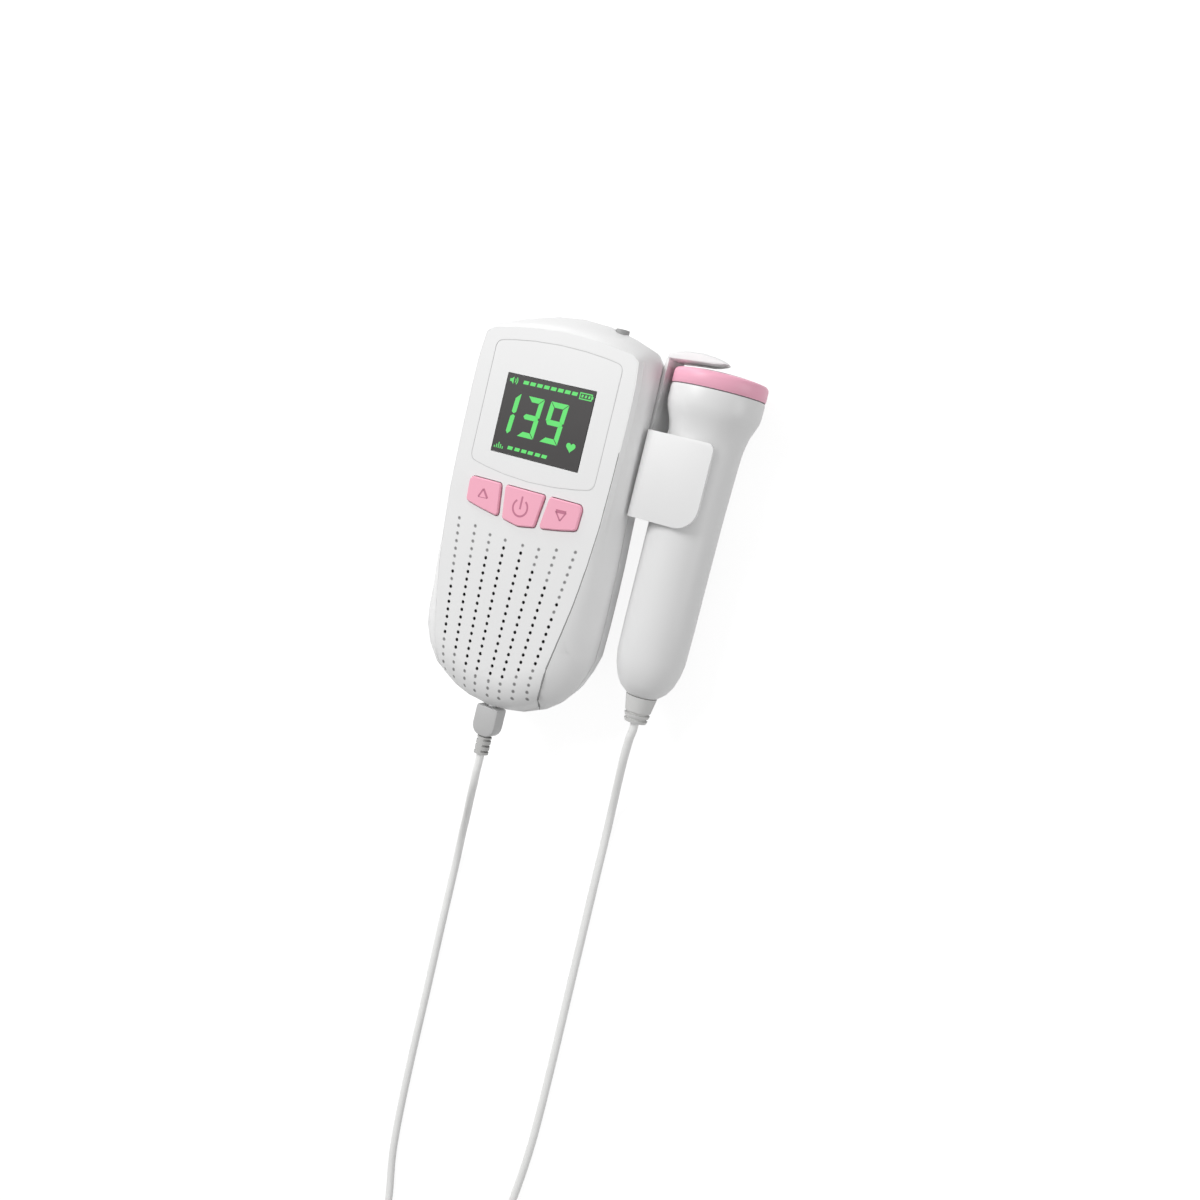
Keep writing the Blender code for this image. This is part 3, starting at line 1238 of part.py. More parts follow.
# The cord's two free stretches, as (x, y, depth) points chosen by hand. Each leaves its strain
# relief straight, comes down on to the surface and runs on towards the coil.
PLUG_RUN = [(-0.0003, -0.1300, 0.0115), (-0.0011, -0.1350, 0.0130), (-0.0028, -0.1400, 0.0158),
            (-0.0054, -0.1460, 0.0202), (-0.0087, -0.1530, 0.0258), (-0.0120, -0.1610, 0.0312),
            (-0.0141, -0.1700, 0.0349), (-0.0150, -0.1800, 0.0366), (-0.0149, -0.2000, 0.0368),
            (-0.0145, -0.2300, 0.0368), (-0.0140, -0.2700, 0.0368), (-0.0126, -0.3000, 0.0368),
            (-0.0092, -0.3200, 0.0366)]
PROBE_RUN = [(0.0517, -0.1010, 0.0222), (0.0504, -0.1080, 0.0246), (0.0488, -0.1160, 0.0282),
             (0.0471, -0.1250, 0.0324), (0.0459, -0.1340, 0.0355),
             (0.0456, -0.1450, 0.0367), (0.0458, -0.1600, 0.0368), (0.0465, -0.2000, 0.0368),
             (0.0472, -0.2400, 0.0368), (0.0470, -0.2700, 0.0368), (0.0447, -0.2960, 0.0366),
             (0.0408, -0.3150, 0.0356)]
CORD_SPACING_SHARE = 2.6


def coil_path():
    """The coil's path: in along the lower layer, up a layer, and out again along the upper one."""
    turns = COIL_TURNS_PER_LAYER
    low = CORD_RADIUS + TIE_THICKNESS + GAP * 2
    points = []
    steps = round((turns * 2 + 0.5) * COIL_STEPS)
    inward = turns * COIL_STEPS
    climb = COIL_STEPS // 2
    for i in range(steps + 1):
        angle = math.pi + math.tau * i / COIL_STEPS
        if i <= inward:
            radius = COIL_OUTER - COIL_PITCH * i / COIL_STEPS
            height = low
        elif i <= inward + climb:
            share = (i - inward) / climb
            radius = COIL_OUTER - COIL_PITCH * (turns + COIL_DIP_SHARE * math.sin(math.pi * share))
            height = low + COIL_PITCH * (share - math.sin(math.tau * share) / math.tau)
        else:
            radius = COIL_OUTER - COIL_PITCH * turns + COIL_PITCH * (i - inward - climb) / COIL_STEPS
            height = low + COIL_PITCH
        across = COIL_X + radius * math.cos(angle)
        points.append(place(across, COIL_Y + radius * math.sin(angle), THICKNESS - height))
    lead = Vector((0, CORD_RADIUS * 2, 0))
    return [points[0] + lead] + points + [points[-1] + lead]


def least_gap(points, radius):
    """The least gap between parts of a tube that are not next to each other along it."""
    near = COIL_STEPS // 3
    best = None
    for i in range(len(points)):
        for j in range(i + near, len(points)):
            space = (points[i] - points[j]).length - radius * 2
            best = space if best is None else min(best, space)
    return best


def run_points(start, direction, route, end, end_direction):
    """A stretch of cord: straight out of one piece, through its route, and straight into the next."""
    lead = CORD_RADIUS * 2
    spots = [start, start + direction * lead]
    spots += [place(*p) for p in route]
    spots += [end - end_direction * lead, end]
    path = evenly(follow(spots, 8), CORD_RADIUS * 2 * CORD_SPACING_SHARE)
    for spot in path:
        spot.z = max(spot.z, CORD_RADIUS + GAP / 4)
    return path


def make_cord(surface, tie_surface):
    coil = coil_path()
    gap = least_gap(coil, CORD_RADIUS)
    print("least gap between the coil's turns: %.2f mm" % (gap * 1000))
    tube("cord_coil", coil, CORD_RADIUS, 1, surface)
    down = Vector((0, -1, 0))
    plug_end = place(0, plug_face() - PLUG_LENGTH - PLUG_RELIEF_LENGTH - GAP * 2, SOCKET_DEPTH)
    plug_run = run_points(plug_end, down, PLUG_RUN, coil[0] - down * GAP, down)
    tube("cord_plug_run", plug_run, CORD_RADIUS, 2, surface)
    probe_end = place(PROBE_X, HANDLE_END - PROBE_RELIEF_LENGTH - GAP * 2, PROBE_DEPTH)
    probe_run = run_points(probe_end, down, PROBE_RUN, coil[-1] - down * GAP, down)
    tube("cord_probe_run", probe_run, CORD_RADIUS, 2, surface)
    total = sum((b - a).length for path in (coil, plug_run, probe_run) for a, b in zip(path, path[1:]))
    print("cord length: %.3f m" % total)
    make_tie(tie_surface)


def make_tie(surface):
    """The band round the coil's bundle, at the side away from the monitor."""
    inner = COIL_OUTER - COIL_PITCH * (COIL_TURNS_PER_LAYER + COIL_DIP_SHARE) - CORD_RADIUS - GAP * 2
    outer = COIL_OUTER + CORD_RADIUS + GAP * 2
    top = TIE_THICKNESS + GAP * 4 + CORD_RADIUS * 2 + COIL_PITCH
    half = TIE_WIDTH / 2

    def loop(margin):
        low = COIL_Y - outer - margin
        high = COIL_Y - inner + margin
        foot = TIE_THICKNESS - margin
        corners = [(low, foot), (high, foot), (high, top + margin), (low, top + margin)]
        return rounded(corners, CORD_RADIUS + margin, 4)

    shape = bmesh.new()
    rings = []
    for side, margin in ((-1, 0.0), (1, 0.0), (1, TIE_THICKNESS), (-1, TIE_THICKNESS)):
        spots = [place(COIL_X + side * half, y, THICKNESS - height) for y, height in loop(margin)]
        rings.append([shape.verts.new(spot) for spot in spots])
    for first, second in zip(rings, rings[1:] + rings[:1]):
        join_rings(shape, first, second, len(first))
    return smooth(add_object("cord_tie", mesh_from("cord_tie", shape), surface))


def main():
    clear_scene()
    white = material("white plastic", (0.80, 0.80, 0.80), 0.42)
    grey_white = material("pale plastic", (0.74, 0.74, 0.74), 0.45)
    pink = material("pink plastic", (0.88, 0.40, 0.53), 0.45)
    clear = material("clear pane", (0.08, 0.08, 0.08), 0.15)
    black = material("black plastic", (0.03, 0.03, 0.03), 0.5)
    green = material("circuit board", (0.02, 0.16, 0.07), 0.5)
    steel = material("bright steel", (0.72, 0.72, 0.74), 0.3, 1.0)
    brass = material("brass", (0.78, 0.57, 0.28), 0.35, 1.0)
    cell = material("battery sleeve", (0.10, 0.12, 0.30), 0.4)
    soft_grey = material("soft grey plastic", (0.55, 0.55, 0.55), 0.55)
    make_holes()
    make_front_shell(white)
    make_front_panel(white)
    make_screen(white, clear, black)
    for name, kind in (("up_button", -1), ("power_button", 0), ("down_button", 1)):
        make_button(name, kind, pink)
    for name, kind in (("up_switch", -1), ("power_switch", 0), ("down_switch", 1)):
        make_switch(name, kind, black)
    make_board(green, black)
    make_speaker(black)
    make_rear_shell(white)
    make_battery_door(white)
    make_battery_bay(black, steel, cell)
    make_screws(steel)
    make_probe_clip(grey_white)
    make_socket(black)
    make_plug(grey_white, steel)
    make_probe(grey_white, pink, soft_grey, black, brass, green)
    make_cord(grey_white, black)


main()
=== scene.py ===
import math

import bmesh
import bpy
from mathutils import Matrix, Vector
from mathutils.bvhtree import BVHTree


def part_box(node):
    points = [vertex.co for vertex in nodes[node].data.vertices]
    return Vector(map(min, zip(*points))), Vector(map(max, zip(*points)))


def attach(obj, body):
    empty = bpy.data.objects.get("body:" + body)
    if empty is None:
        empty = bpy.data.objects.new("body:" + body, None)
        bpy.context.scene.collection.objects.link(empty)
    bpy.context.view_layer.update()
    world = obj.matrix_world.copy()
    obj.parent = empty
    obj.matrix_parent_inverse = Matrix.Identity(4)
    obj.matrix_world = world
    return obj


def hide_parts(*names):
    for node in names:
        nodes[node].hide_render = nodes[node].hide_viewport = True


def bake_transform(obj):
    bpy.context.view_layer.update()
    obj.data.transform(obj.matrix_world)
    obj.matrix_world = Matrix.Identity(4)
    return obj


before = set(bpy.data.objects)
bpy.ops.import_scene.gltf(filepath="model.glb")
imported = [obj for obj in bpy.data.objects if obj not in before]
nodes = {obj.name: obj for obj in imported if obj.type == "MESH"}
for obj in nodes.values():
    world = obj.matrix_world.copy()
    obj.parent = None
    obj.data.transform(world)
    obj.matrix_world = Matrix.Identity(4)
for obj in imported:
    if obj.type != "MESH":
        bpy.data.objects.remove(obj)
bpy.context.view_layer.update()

print("frame loaded:", len(nodes), "nodes")


camera = {
    "place": (0.2088541, 0.0293207, 0.3947680),
    "turn": (0.0056046, 0.4962581, 0.2740496),
    "lens": 36.0,
    "sensor": 36.0,
    "clipStart": 0.01,
}


def makeCamera(settings):
    data = bpy.data.cameras.new("camera")
    data.lens = settings["lens"]
    data.sensor_width = settings["sensor"]
    data.clip_start = settings["clipStart"]
    item = bpy.data.objects.new("camera", data)
    item.location = settings["place"]
    item.rotation_euler = settings["turn"]
    bpy.context.scene.collection.objects.link(item)
    bpy.context.scene.camera = item
    print("camera placed")


# The display's centre and the front's height in millimetres, from the clear pane that lies flush in the front
paneLow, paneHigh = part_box("screen_window")
faceX, faceY = (round((paneLow[k] + paneHigh[k]) * 500, 3) for k in (0, 1))
faceTop = round(paneHigh[2] * 1000, 3)


# A point given in millimetres from the display's centre, x to the right, y up, depth under the front
def facePoint(x, y, depth=0.0):
    return Vector((faceX + x, faceY + y, faceTop - depth)) / 1000


class Wire:
    # A node's output, so that shader maths can be written as sums
    def __init__(self, web, socket):
        self.web = web
        self.socket = socket

    def __add__(self, other):
        return self.web.maths("ADD", self, other)

    def __radd__(self, other):
        return self.web.maths("ADD", other, self)

    def __sub__(self, other):
        return self.web.maths("SUBTRACT", self, other)

    def __rsub__(self, other):
        return self.web.maths("SUBTRACT", other, self)

    def __mul__(self, other):
        return self.web.maths("MULTIPLY", self, other)

    def __truediv__(self, other):
        return self.web.maths("DIVIDE", self, other)

    def __gt__(self, other):
        return self.web.maths("GREATER_THAN", self, other)

    def __lt__(self, other):
        return self.web.maths("LESS_THAN", self, other)


class Web:
    # A tree of shader nodes, of a material or of the world
    def __init__(self, tree):
        self.tree = tree

    def add(self, kind, settings=None, sockets=None, output=0):
        node = self.tree.nodes.new(kind)
        for key, value in (settings or {}).items():
            setattr(node, key, value)
        for key, value in (sockets or {}).items():
            self.feed(node.inputs[key], value)
        return Wire(self, node.outputs[output])

    def feed(self, socket, value):
        if isinstance(value, Wire):
            self.tree.links.new(value.socket, socket)
        else:
            socket.default_value = value

    def maths(self, operation, first, second=0.0):
        return self.add("ShaderNodeMath", {"operation": operation}, {0: first, 1: second})

    def distance(self, first, second):
        return self.maths("SQRT", first * first + second * second)

    def blend(self, share, first, second):
        return self.add("ShaderNodeMixShader", None, {0: share, 1: first, 2: second})

    def seenDirectly(self):
        # 1 for rays from the camera, in mirrors and through glass, which see a white background
        rays = [self.add("ShaderNodeLightPath", output=name)
                for name in ("Is Camera Ray", "Is Glossy Ray", "Is Transmission Ray")]
        return self.maths("MAXIMUM", self.maths("MAXIMUM", rays[0], rays[1]), rays[2])


class Finish(Web):
    # A material with its Principled shader, built by sums of wires
    def __init__(self, name, constants=None):
        self.material = bpy.data.materials.new(name)
        self.material.use_nodes = True
        super().__init__(self.material.node_tree)
        self.shader = self.tree.nodes["Principled BSDF"]
        self.output = self.tree.nodes["Material Output"]
        for socket, value in (constants or {}).items():
            self.shader.inputs[socket].default_value = value

    def mix(self, share, first, second):
        return self.add("ShaderNodeMix", {"data_type": "RGBA"}, {0: share, 6: first, 7: second}, 2)

    def place(self):
        return self.add("ShaderNodeTexCoord", output="Object")

    def along(self, axis):
        # The place along one axis, in millimetres
        return self.add("ShaderNodeSeparateXYZ", None, {"Vector": self.place()}, axis) * 1000

    def noise(self, scale, detail=3.0, rough=0.5):
        return self.add("ShaderNodeTexNoise", None,
                        {"Vector": self.place(), "Scale": scale, "Detail": detail, "Roughness": rough}, "Fac")

    def waves(self, axis, scale, distortion=0.0):
        return self.add("ShaderNodeTexWave", {"bands_direction": axis},
                        {"Vector": self.place(), "Scale": scale, "Distortion": distortion}, "Fac")

    def surface(self, socket, value):
        self.feed(self.shader.inputs[socket], value)

    def bump(self, height, strength, distance):
        normal = self.add("ShaderNodeBump", None,
                          {"Height": height, "Strength": strength, "Distance": distance}, "Normal")
        self.surface("Normal", normal)


def colour(red, green, blue):
    return (red, green, blue, 1.0)


def grey(level):
    return colour(level, level, level)


def scaled(shade, share):
    # The same shade, darker or lighter
    return colour(*(min(1.0, part * share) for part in shade[:3]))


# Moulded plastic: a fine spark-eroded grain, slow changes of shade and of gloss
plastic = {"shine": 0.45, "slowScale": 38, "slowGloss": 0.05, "grainScale": 5200, "grainGloss": 0.04,
           "grainHeight": 0.00004}


def moulded(finish, shade, rough, drift=0.035):
    # Lays the gloss, and gives back the shade and the grain
    slow = finish.noise(plastic["slowScale"], 2.0)
    grain = finish.noise(plastic["grainScale"], 2.0, 0.6)
    finish.surface("Roughness", rough - plastic["grainGloss"] + slow * plastic["slowGloss"]
                   + grain * plastic["grainGloss"])
    return finish.mix(slow, scaled(shade, 1 - drift), shade), grain


def mouldedPlastic(name, shade, rough=0.42, depth=0.10, drift=0.035):
    finish = Finish(name, {"Specular IOR Level": plastic["shine"]})
    plain, grain = moulded(finish, shade, rough, drift)
    finish.surface("Base Color", plain)
    finish.bump(grain, depth, plastic["grainHeight"])
    return finish


# Soft rubber of the cord and the strain reliefs: matt, slightly dusty
rubber = {"shine": 0.35, "slowScale": 90, "drift": 0.05, "grainScale": 6500, "grainGloss": 0.10,
          "grainDepth": 0.14, "grainHeight": 0.00004}


def softRubber(name, shade, rough=0.55):
    finish = Finish(name, {"Specular IOR Level": rubber["shine"]})
    slow = finish.noise(rubber["slowScale"])
    grain = finish.noise(rubber["grainScale"], 3.0, 0.7)
    finish.surface("Base Color", finish.mix(slow, scaled(shade, 1 - rubber["drift"]), shade))
    finish.surface("Roughness", rough + grain * rubber["grainGloss"])
    finish.bump(grain, rubber["grainDepth"], rubber["grainHeight"])
    return finish


# The speaker holes in the front panel: four columns on each side, given in millimetres from the display's
# centre as x of the first row, x at the lean's last row, y of the first row, last row that may be pierced.
# Where the solid panel is pierced, the inside of the hole below the face is painted dark as painted shade,
# and every other place is a blind dimple, bumped and with a grey disc of painted shade.
grille = {
    "columns": [(24.998, 19.618, -40.468, 15), (17.495, 13.908, -41.604, 16), (10.504, 8.198, -43.166, 17),
                (3.752, 3.001, -43.450, 18)],
    "leanRows": 16,
    "rows": 21,
    "pitch": 2.77,
    "radius": 0.76,
    "holeReach": 1.05,
    "sunkDepth": 0.1,
    "rough": 0.38,
    "dimplePaintedShade": grey(0.17),
    "holeWallPaintedShade": grey(0.10),
    "dimpleBump": 6.0,
    "grainBump": 0.3,
    "bumpDepth": 0.5,
    "bumpHeight": 0.00005,
}


def grilleFinish(name, shade, settings):
    finish = Finish(name, {"Specular IOR Level": plastic["shine"]})
    across = finish.maths("ABSOLUTE", finish.along("X") - faceX)
    up = finish.along("Y") - faceY
    sunk = finish.along("Z") < faceTop - settings["sunkDepth"]
    dent, pierced = 1.0, 0.0
    for first, later, top, last in settings["columns"]:
        lean = (first - later) / settings["leanRows"]
        drop = math.sqrt(settings["pitch"] ** 2 - lean ** 2)
        row = (top - up) / drop
        away = (row - finish.maths("ROUND", row)) * drop
        side = across - first + row * lean
        near = finish.distance(side, away) / settings["radius"]
        outside = (row < -0.5) + (row > settings["rows"] - 0.5)
        dent = finish.maths("MINIMUM", dent, finish.maths("MAXIMUM", near, outside))
        pierced = pierced + (near < settings["holeReach"]) * (row > -0.5) * (row < last + 0.5)
    plain, grain = moulded(finish, shade, settings["rough"])
    # The dimples' grey discs and the dark of the hole walls are painted shade of these recesses
    shadedDimples = finish.mix(dent * dent * dent, settings["dimplePaintedShade"], plain)
    finish.surface("Base Color", finish.mix(pierced * sunk, shadedDimples, settings["holeWallPaintedShade"]))
    finish.bump(dent * settings["dimpleBump"] + grain * settings["grainBump"], settings["bumpDepth"],
                settings["bumpHeight"])
    return finish


# The soft grey membrane at the cap's end, in millimetres: its radius, and how far back from the end it goes
membrane = {"radius": 12.4, "depth": 2.5, "shade": colour(0.44, 0.43, 0.43), "rough": 0.40, "drift": 0.04,
            "grainDepth": 0.08}


def capFinish(name, shade, settings):
    # The cap is pink round its membrane
    finish = Finish(name, {"Specular IOR Level": plastic["shine"]})
    ring, grain = moulded(finish, shade, settings["rough"], settings["drift"])
    low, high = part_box("probe_cap")
    across = finish.along("X") - (low[0] + high[0]) * 500
    upward = finish.along("Z") - (low[2] + high[2]) * 500
    near = finish.distance(across, upward) < settings["radius"]
    inside = near * (finish.along("Y") > high[1] * 1000 - settings["depth"])
    finish.surface("Base Color", finish.mix(inside, ring, settings["shade"]))
    finish.bump(grain, settings["grainDepth"], plastic["grainHeight"])
    return finish


# Metal with fine drawn lines along x
metal = {"stretch": (300, 6000, 6000), "detail": 4.0, "drift": 0.18, "rough": 0.23, "lineGloss": 0.14,
         "lineDepth": 0.12, "lineHeight": 0.00003}


def brushedMetal(name, shade):
    finish = Finish(name, {"Metallic": 1.0})
    drawn = finish.add("ShaderNodeVectorMath", {"operation": "MULTIPLY"},
                       {0: finish.place(), 1: metal["stretch"]})
    lines = finish.add("ShaderNodeTexNoise", None,
                       {"Vector": drawn, "Scale": 1.0, "Detail": metal["detail"]}, "Fac")
    finish.surface("Base Color", finish.mix(lines, scaled(shade, 1 - metal["drift"]), shade))
    finish.surface("Roughness", metal["rough"] + lines * metal["lineGloss"])
    finish.bump(lines, metal["lineDepth"], metal["lineHeight"])
    return finish


# Green solder mask over copper tracks, with small plated holes
circuit = {
    "tracks": {"Scale": 260.0, "Mortar Size": 0.03, "Brick Width": 1.6, "Row Height": 0.35},
    "offset": 0.37,
    "holeScale": 380.0,
    "holeSize": 0.16,
    "mask": colour(0.012, 0.115, 0.045),
    "track": colour(0.03, 0.21, 0.085),
    "plating": colour(0.62, 0.55, 0.30),
    "shine": 0.5,
    "rough": 0.42,
    "platedMetal": 0.9,
    "platedGloss": 0.12,
    "bumpDepth": 0.3,
    "bumpHeight": 0.00005,
}


def circuitBoard(name, settings):
    finish = Finish(name, {"Specular IOR Level": settings["shine"]})
    shades = {"Color1": grey(0), "Color2": grey(0), "Mortar": grey(1)}
    tracks = finish.add("ShaderNodeTexBrick", {"offset": settings["offset"]},
                        {"Vector": finish.place(), **settings["tracks"], **shades}, "Fac")
    holes = finish.add("ShaderNodeTexVoronoi", None,
                       {"Vector": finish.place(), "Scale": settings["holeScale"]},
                       "Distance") < settings["holeSize"]
    coated = finish.mix(tracks, settings["mask"], settings["track"])
    finish.surface("Base Color", finish.mix(holes, coated, settings["plating"]))
    finish.surface("Metallic", holes * settings["platedMetal"])
    finish.surface("Roughness", settings["rough"] - holes * settings["platedGloss"])
    finish.bump(tracks + holes, settings["bumpDepth"], settings["bumpHeight"])
    return finish


# Woven tape: fine waves along both axes, lighter where the threads lie high, a painted highlight on the
# thread tops
tape = {"weaveScale": 900.0, "distortion": 0.4, "highlightShare": 2.2, "shine": 0.2, "rough": 0.9,
        "weaveGloss": 0.15, "bumpDepth": 0.5, "bumpHeight": 0.00015}


def wovenTape(name, shade, settings):
    finish = Finish(name, {"Specular IOR Level": settings["shine"]})
    warp, weft = (finish.waves(axis, settings["weaveScale"], settings["distortion"]) for axis in "XY")
    weave = warp * weft
    finish.surface("Base Color", finish.mix(weave, shade, scaled(shade, settings["highlightShare"])))
    finish.surface("Roughness", settings["rough"] - weave * settings["weaveGloss"])
    finish.bump(weave, settings["bumpDepth"], settings["bumpHeight"])
    return finish


# A plain cell sleeve: dark blue, with a copper-coloured half at the positive end
sleeve = {"slowScale": 160, "dark": colour(0.015, 0.025, 0.085), "light": colour(0.02, 0.035, 0.11),
          "copper": colour(0.60, 0.30, 0.14), "split": 0.0, "rough": 0.3, "slowGloss": 0.08, "coat": 0.6,
          "coatRough": 0.1}


def sleeveFinish(name, settings):
    finish = Finish(name, {"Coat Weight": settings["coat"], "Coat Roughness": settings["coatRough"]})
    slow = finish.noise(settings["slowScale"])
    body = finish.mix(slow, settings["dark"], settings["light"])
    copper = finish.along("Y") > settings["split"]
    finish.surface("Base Color", finish.mix(copper, body, settings["copper"]))
    finish.surface("Roughness", settings["rough"] + slow * settings["slowGloss"])
    return finish


# The display's dark face under its clear cover: faint lines of its cells and a smooth gloss
displayFace = {"slowScale": 60, "dark": colour(0.034, 0.031, 0.031), "light": colour(0.039, 0.036, 0.036),
               "lineScale": 1500.0, "lineShare": 0.12, "line": colour(0.075, 0.07, 0.07), "shine": 0.3,
               "rough": 0.32, "slowGloss": 0.08, "coat": 0.12, "slowCoat": 0.1, "coatRough": 0.06}


def displayFinish(name, settings):
    finish = Finish(name, {"Specular IOR Level": settings["shine"], "Coat Roughness": settings["coatRough"]})
    slow = finish.noise(settings["slowScale"], 4.0)
    dark = finish.mix(slow, settings["dark"], settings["light"])
    lines = finish.waves("X", settings["lineScale"]) * settings["lineShare"]
    finish.surface("Base Color", finish.mix(lines, dark, settings["line"]))
    finish.surface("Roughness", settings["rough"] + slow * settings["slowGloss"])
    finish.surface("Coat Weight", settings["coat"] + slow * settings["slowCoat"])
    return finish


# Lit marks, a little uneven
glow = {"strength": 1.0, "unlit": grey(0.02), "slowScale": 420, "drift": 0.07, "rough": 0.5, "slowGloss": 0.1}


def glowFinish(name, shade, settings):
    finish = Finish(name, {"Base Color": settings["unlit"], "Emission Strength": settings["strength"]})
    slow = finish.noise(settings["slowScale"], 2.0)
    finish.surface("Emission Color", finish.mix(slow, scaled(shade, 1 - settings["drift"]), shade))
    finish.surface("Roughness", settings["rough"] + slow * settings["slowGloss"])
    return finish


print("making finishes")
whitePlastic = mouldedPlastic("whitePlastic", grey(0.84), 0.40)
panelPlastic = grilleFinish("panelPlastic", grey(0.84), grille)
bezelPlastic = mouldedPlastic("bezelPlastic", grey(0.84), 0.36, depth=0.07)
palePlastic = mouldedPlastic("palePlastic", grey(0.84), 0.38, depth=0.08)
clipPlastic = mouldedPlastic("clipPlastic", grey(0.86), 0.42, depth=0.08)
pinkPlastic = mouldedPlastic("pinkPlastic", colour(0.94, 0.435, 0.56), 0.44, depth=0.12, drift=0.05)
capPlastic = capFinish("capPlastic", colour(0.97, 0.47, 0.61), membrane)
# Dark pink of the key signs: painted shade of their engravings
signPaintedShade = mouldedPlastic("signPaintedShade", colour(0.54, 0.17, 0.27), 0.5)
# Grey of the surround's seal: painted shade of that joint
surroundPaintedShade = mouldedPlastic("surroundPaintedShade", grey(0.62), 0.6)
# Dark of the ring under the probe's cap: painted shade of its joint
seamPaintedShade = mouldedPlastic("seamPaintedShade", colour(0.16, 0.13, 0.14), 0.6)
# Dark grey of the crease's seal: painted shade of the crease
creasePaintedShade = mouldedPlastic("creasePaintedShade", grey(0.25), 0.6)
blackPlastic = mouldedPlastic("blackPlastic", colour(0.022, 0.022, 0.023), 0.5, depth=0.2)
greyPlastic = mouldedPlastic("greyPlastic", grey(0.34), 0.5)
plugPlastic = mouldedPlastic("plugPlastic", grey(0.54))
cordRubber = softRubber("cordRubber", colour(0.96, 0.96, 0.95))
reliefRubber = softRubber("reliefRubber", colour(0.71, 0.71, 0.70), 0.6)
plugRubber = softRubber("plugRubber", colour(0.56, 0.56, 0.55), 0.6)
brightSteel = brushedMetal("brightSteel", colour(0.66, 0.66, 0.67))
ceramic = mouldedPlastic("ceramic", colour(0.60, 0.55, 0.42), 0.6)
board = circuitBoard("board", circuit)
tapeWeave = wovenTape("tapeWeave", colour(0.02, 0.02, 0.022), tape)
cellSleeve = sleeveFinish("cellSleeve", sleeve)
displayGlass = displayFinish("displayGlass", displayFace)
displayGreen = glowFinish("displayGreen", colour(0.085, 0.740, 0.125), glow)


def newPiece(name, shape, finish, body=None, angle=32, smooth=True):
    # Turns a drawn shape into an object; edges sharper than the angle in degrees stay sharp
    bmesh.ops.recalc_face_normals(shape, faces=shape.faces)
    mesh = bpy.data.meshes.new(name)
    shape.to_mesh(mesh)
    shape.free()
    item = bpy.data.objects.new(name, mesh)
    bpy.context.scene.collection.objects.link(item)
    mesh.materials.append(finish.material)
    if smooth:
        mesh.polygons.foreach_set("use_smooth", [True] * len(mesh.polygons))
        mesh.set_sharp_from_angle(angle=math.radians(angle))
    if body:
        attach(item, body)
    return item


def skin(shape, rows, closed=False):
    # Joins rows of corners into one closed skin, back to the first row or with flat ends
    rings = [[shape.verts.new(corner) for corner in row] for row in rows]
    pairs = list(zip(rings, rings[1:] + rings[:1])) if closed else list(zip(rings, rings[1:]))
    for first, second in pairs:
        for i in range(len(first)):
            j = (i + 1) % len(first)
            shape.faces.new((first[i], first[j], second[j], second[i]))
    if not closed:
        shape.faces.new(rings[0][::-1])
        shape.faces.new(rings[-1])


def follow(spots, steps):
    # A smooth line through the spots
    spots = [Vector(s) for s in spots]
    line = []
    for i in range(len(spots) - 1):
        before = spots[max(i - 1, 0)]
        first, second = spots[i], spots[i + 1]
        after = spots[min(i + 2, len(spots) - 1)]
        for k in range(steps):
            t = k / steps
            line.append(0.5 * (2 * first + (second - before) * t
                               + (2 * before - 5 * first + 4 * second - after) * t * t
                               + (3 * first - before - 3 * second + after) * t * t * t))
    line.append(spots[-1])
    return line


def tubeShape(path, radius, sides):
    # A round tube along the path, carried along without twist
    rows = []
    side = Vector((1, 0, 0))
    for i, spot in enumerate(path):
        ahead = path[min(i + 1, len(path) - 1)] - path[max(i - 1, 0)]
        ahead.normalize()
        side = (side - ahead * side.dot(ahead)).normalized()
        other = ahead.cross(side)
        angles = [math.tau * k / sides for k in range(sides)]
        rows.append([spot + (side * math.cos(a) + other * math.sin(a)) * radius for a in angles])
    shape = bmesh.new()
    skin(shape, rows)
    return shape


cord = {
    "radius": 0.0015,
    "sides": 16,
    "steps": 8,
    "softAngle": 60,
    "coilCentre": (-0.001175, -0.3092),
    "coilOuter": 0.0215,
    "coilPitch": 0.00345,
    "coilTurns": 3,
    "coilSteps": 36,
    "coilHeight": 0.0026,
    "coilDip": 0.28,
    "plugRun": [(-0.0162, -0.0902, 0.0272), (-0.0162, -0.0932, 0.0272), (-0.0165, -0.0972, 0.0268),
                (-0.0173, -0.1022, 0.0253), (-0.0190, -0.1072, 0.0225), (-0.0216, -0.1132, 0.0181),
                (-0.0249, -0.1202, 0.0125), (-0.0282, -0.1282, 0.0071), (-0.0303, -0.1372, 0.0034),
                (-0.0312, -0.1472, 0.0017), (-0.0311, -0.1672, 0.0016), (-0.0307, -0.1972, 0.0016),
                (-0.0302, -0.2372, 0.0016), (-0.0288, -0.2672, 0.0016), (-0.0254, -0.2872, 0.0018),
                (-0.0229, -0.3040, 0.0025)],
    "probeRun": [(0.0363, -0.0616, 0.0168), (0.0363, -0.0646, 0.0168), (0.0355, -0.0682, 0.0161),
                 (0.0342, -0.0752, 0.0137), (0.0326, -0.0832, 0.0101), (0.0309, -0.0922, 0.0059),
                 (0.0297, -0.1012, 0.0028), (0.0294, -0.1122, 0.0016), (0.0296, -0.1272, 0.0016),
                 (0.0303, -0.1672, 0.0016), (0.0310, -0.2072, 0.0016), (0.0308, -0.2372, 0.0016),
                 (0.0285, -0.2632, 0.0017), (0.0246, -0.2822, 0.0028), (0.0210, -0.2985, 0.0052),
                 (0.0203, -0.3062, 0.0060), (0.02032, -0.3096, 0.00605)],
    "blendStart": (0.0303, -0.1872, 0.0016),
    "blendEnd": (0.0363, -0.0640, 0.0168),
}


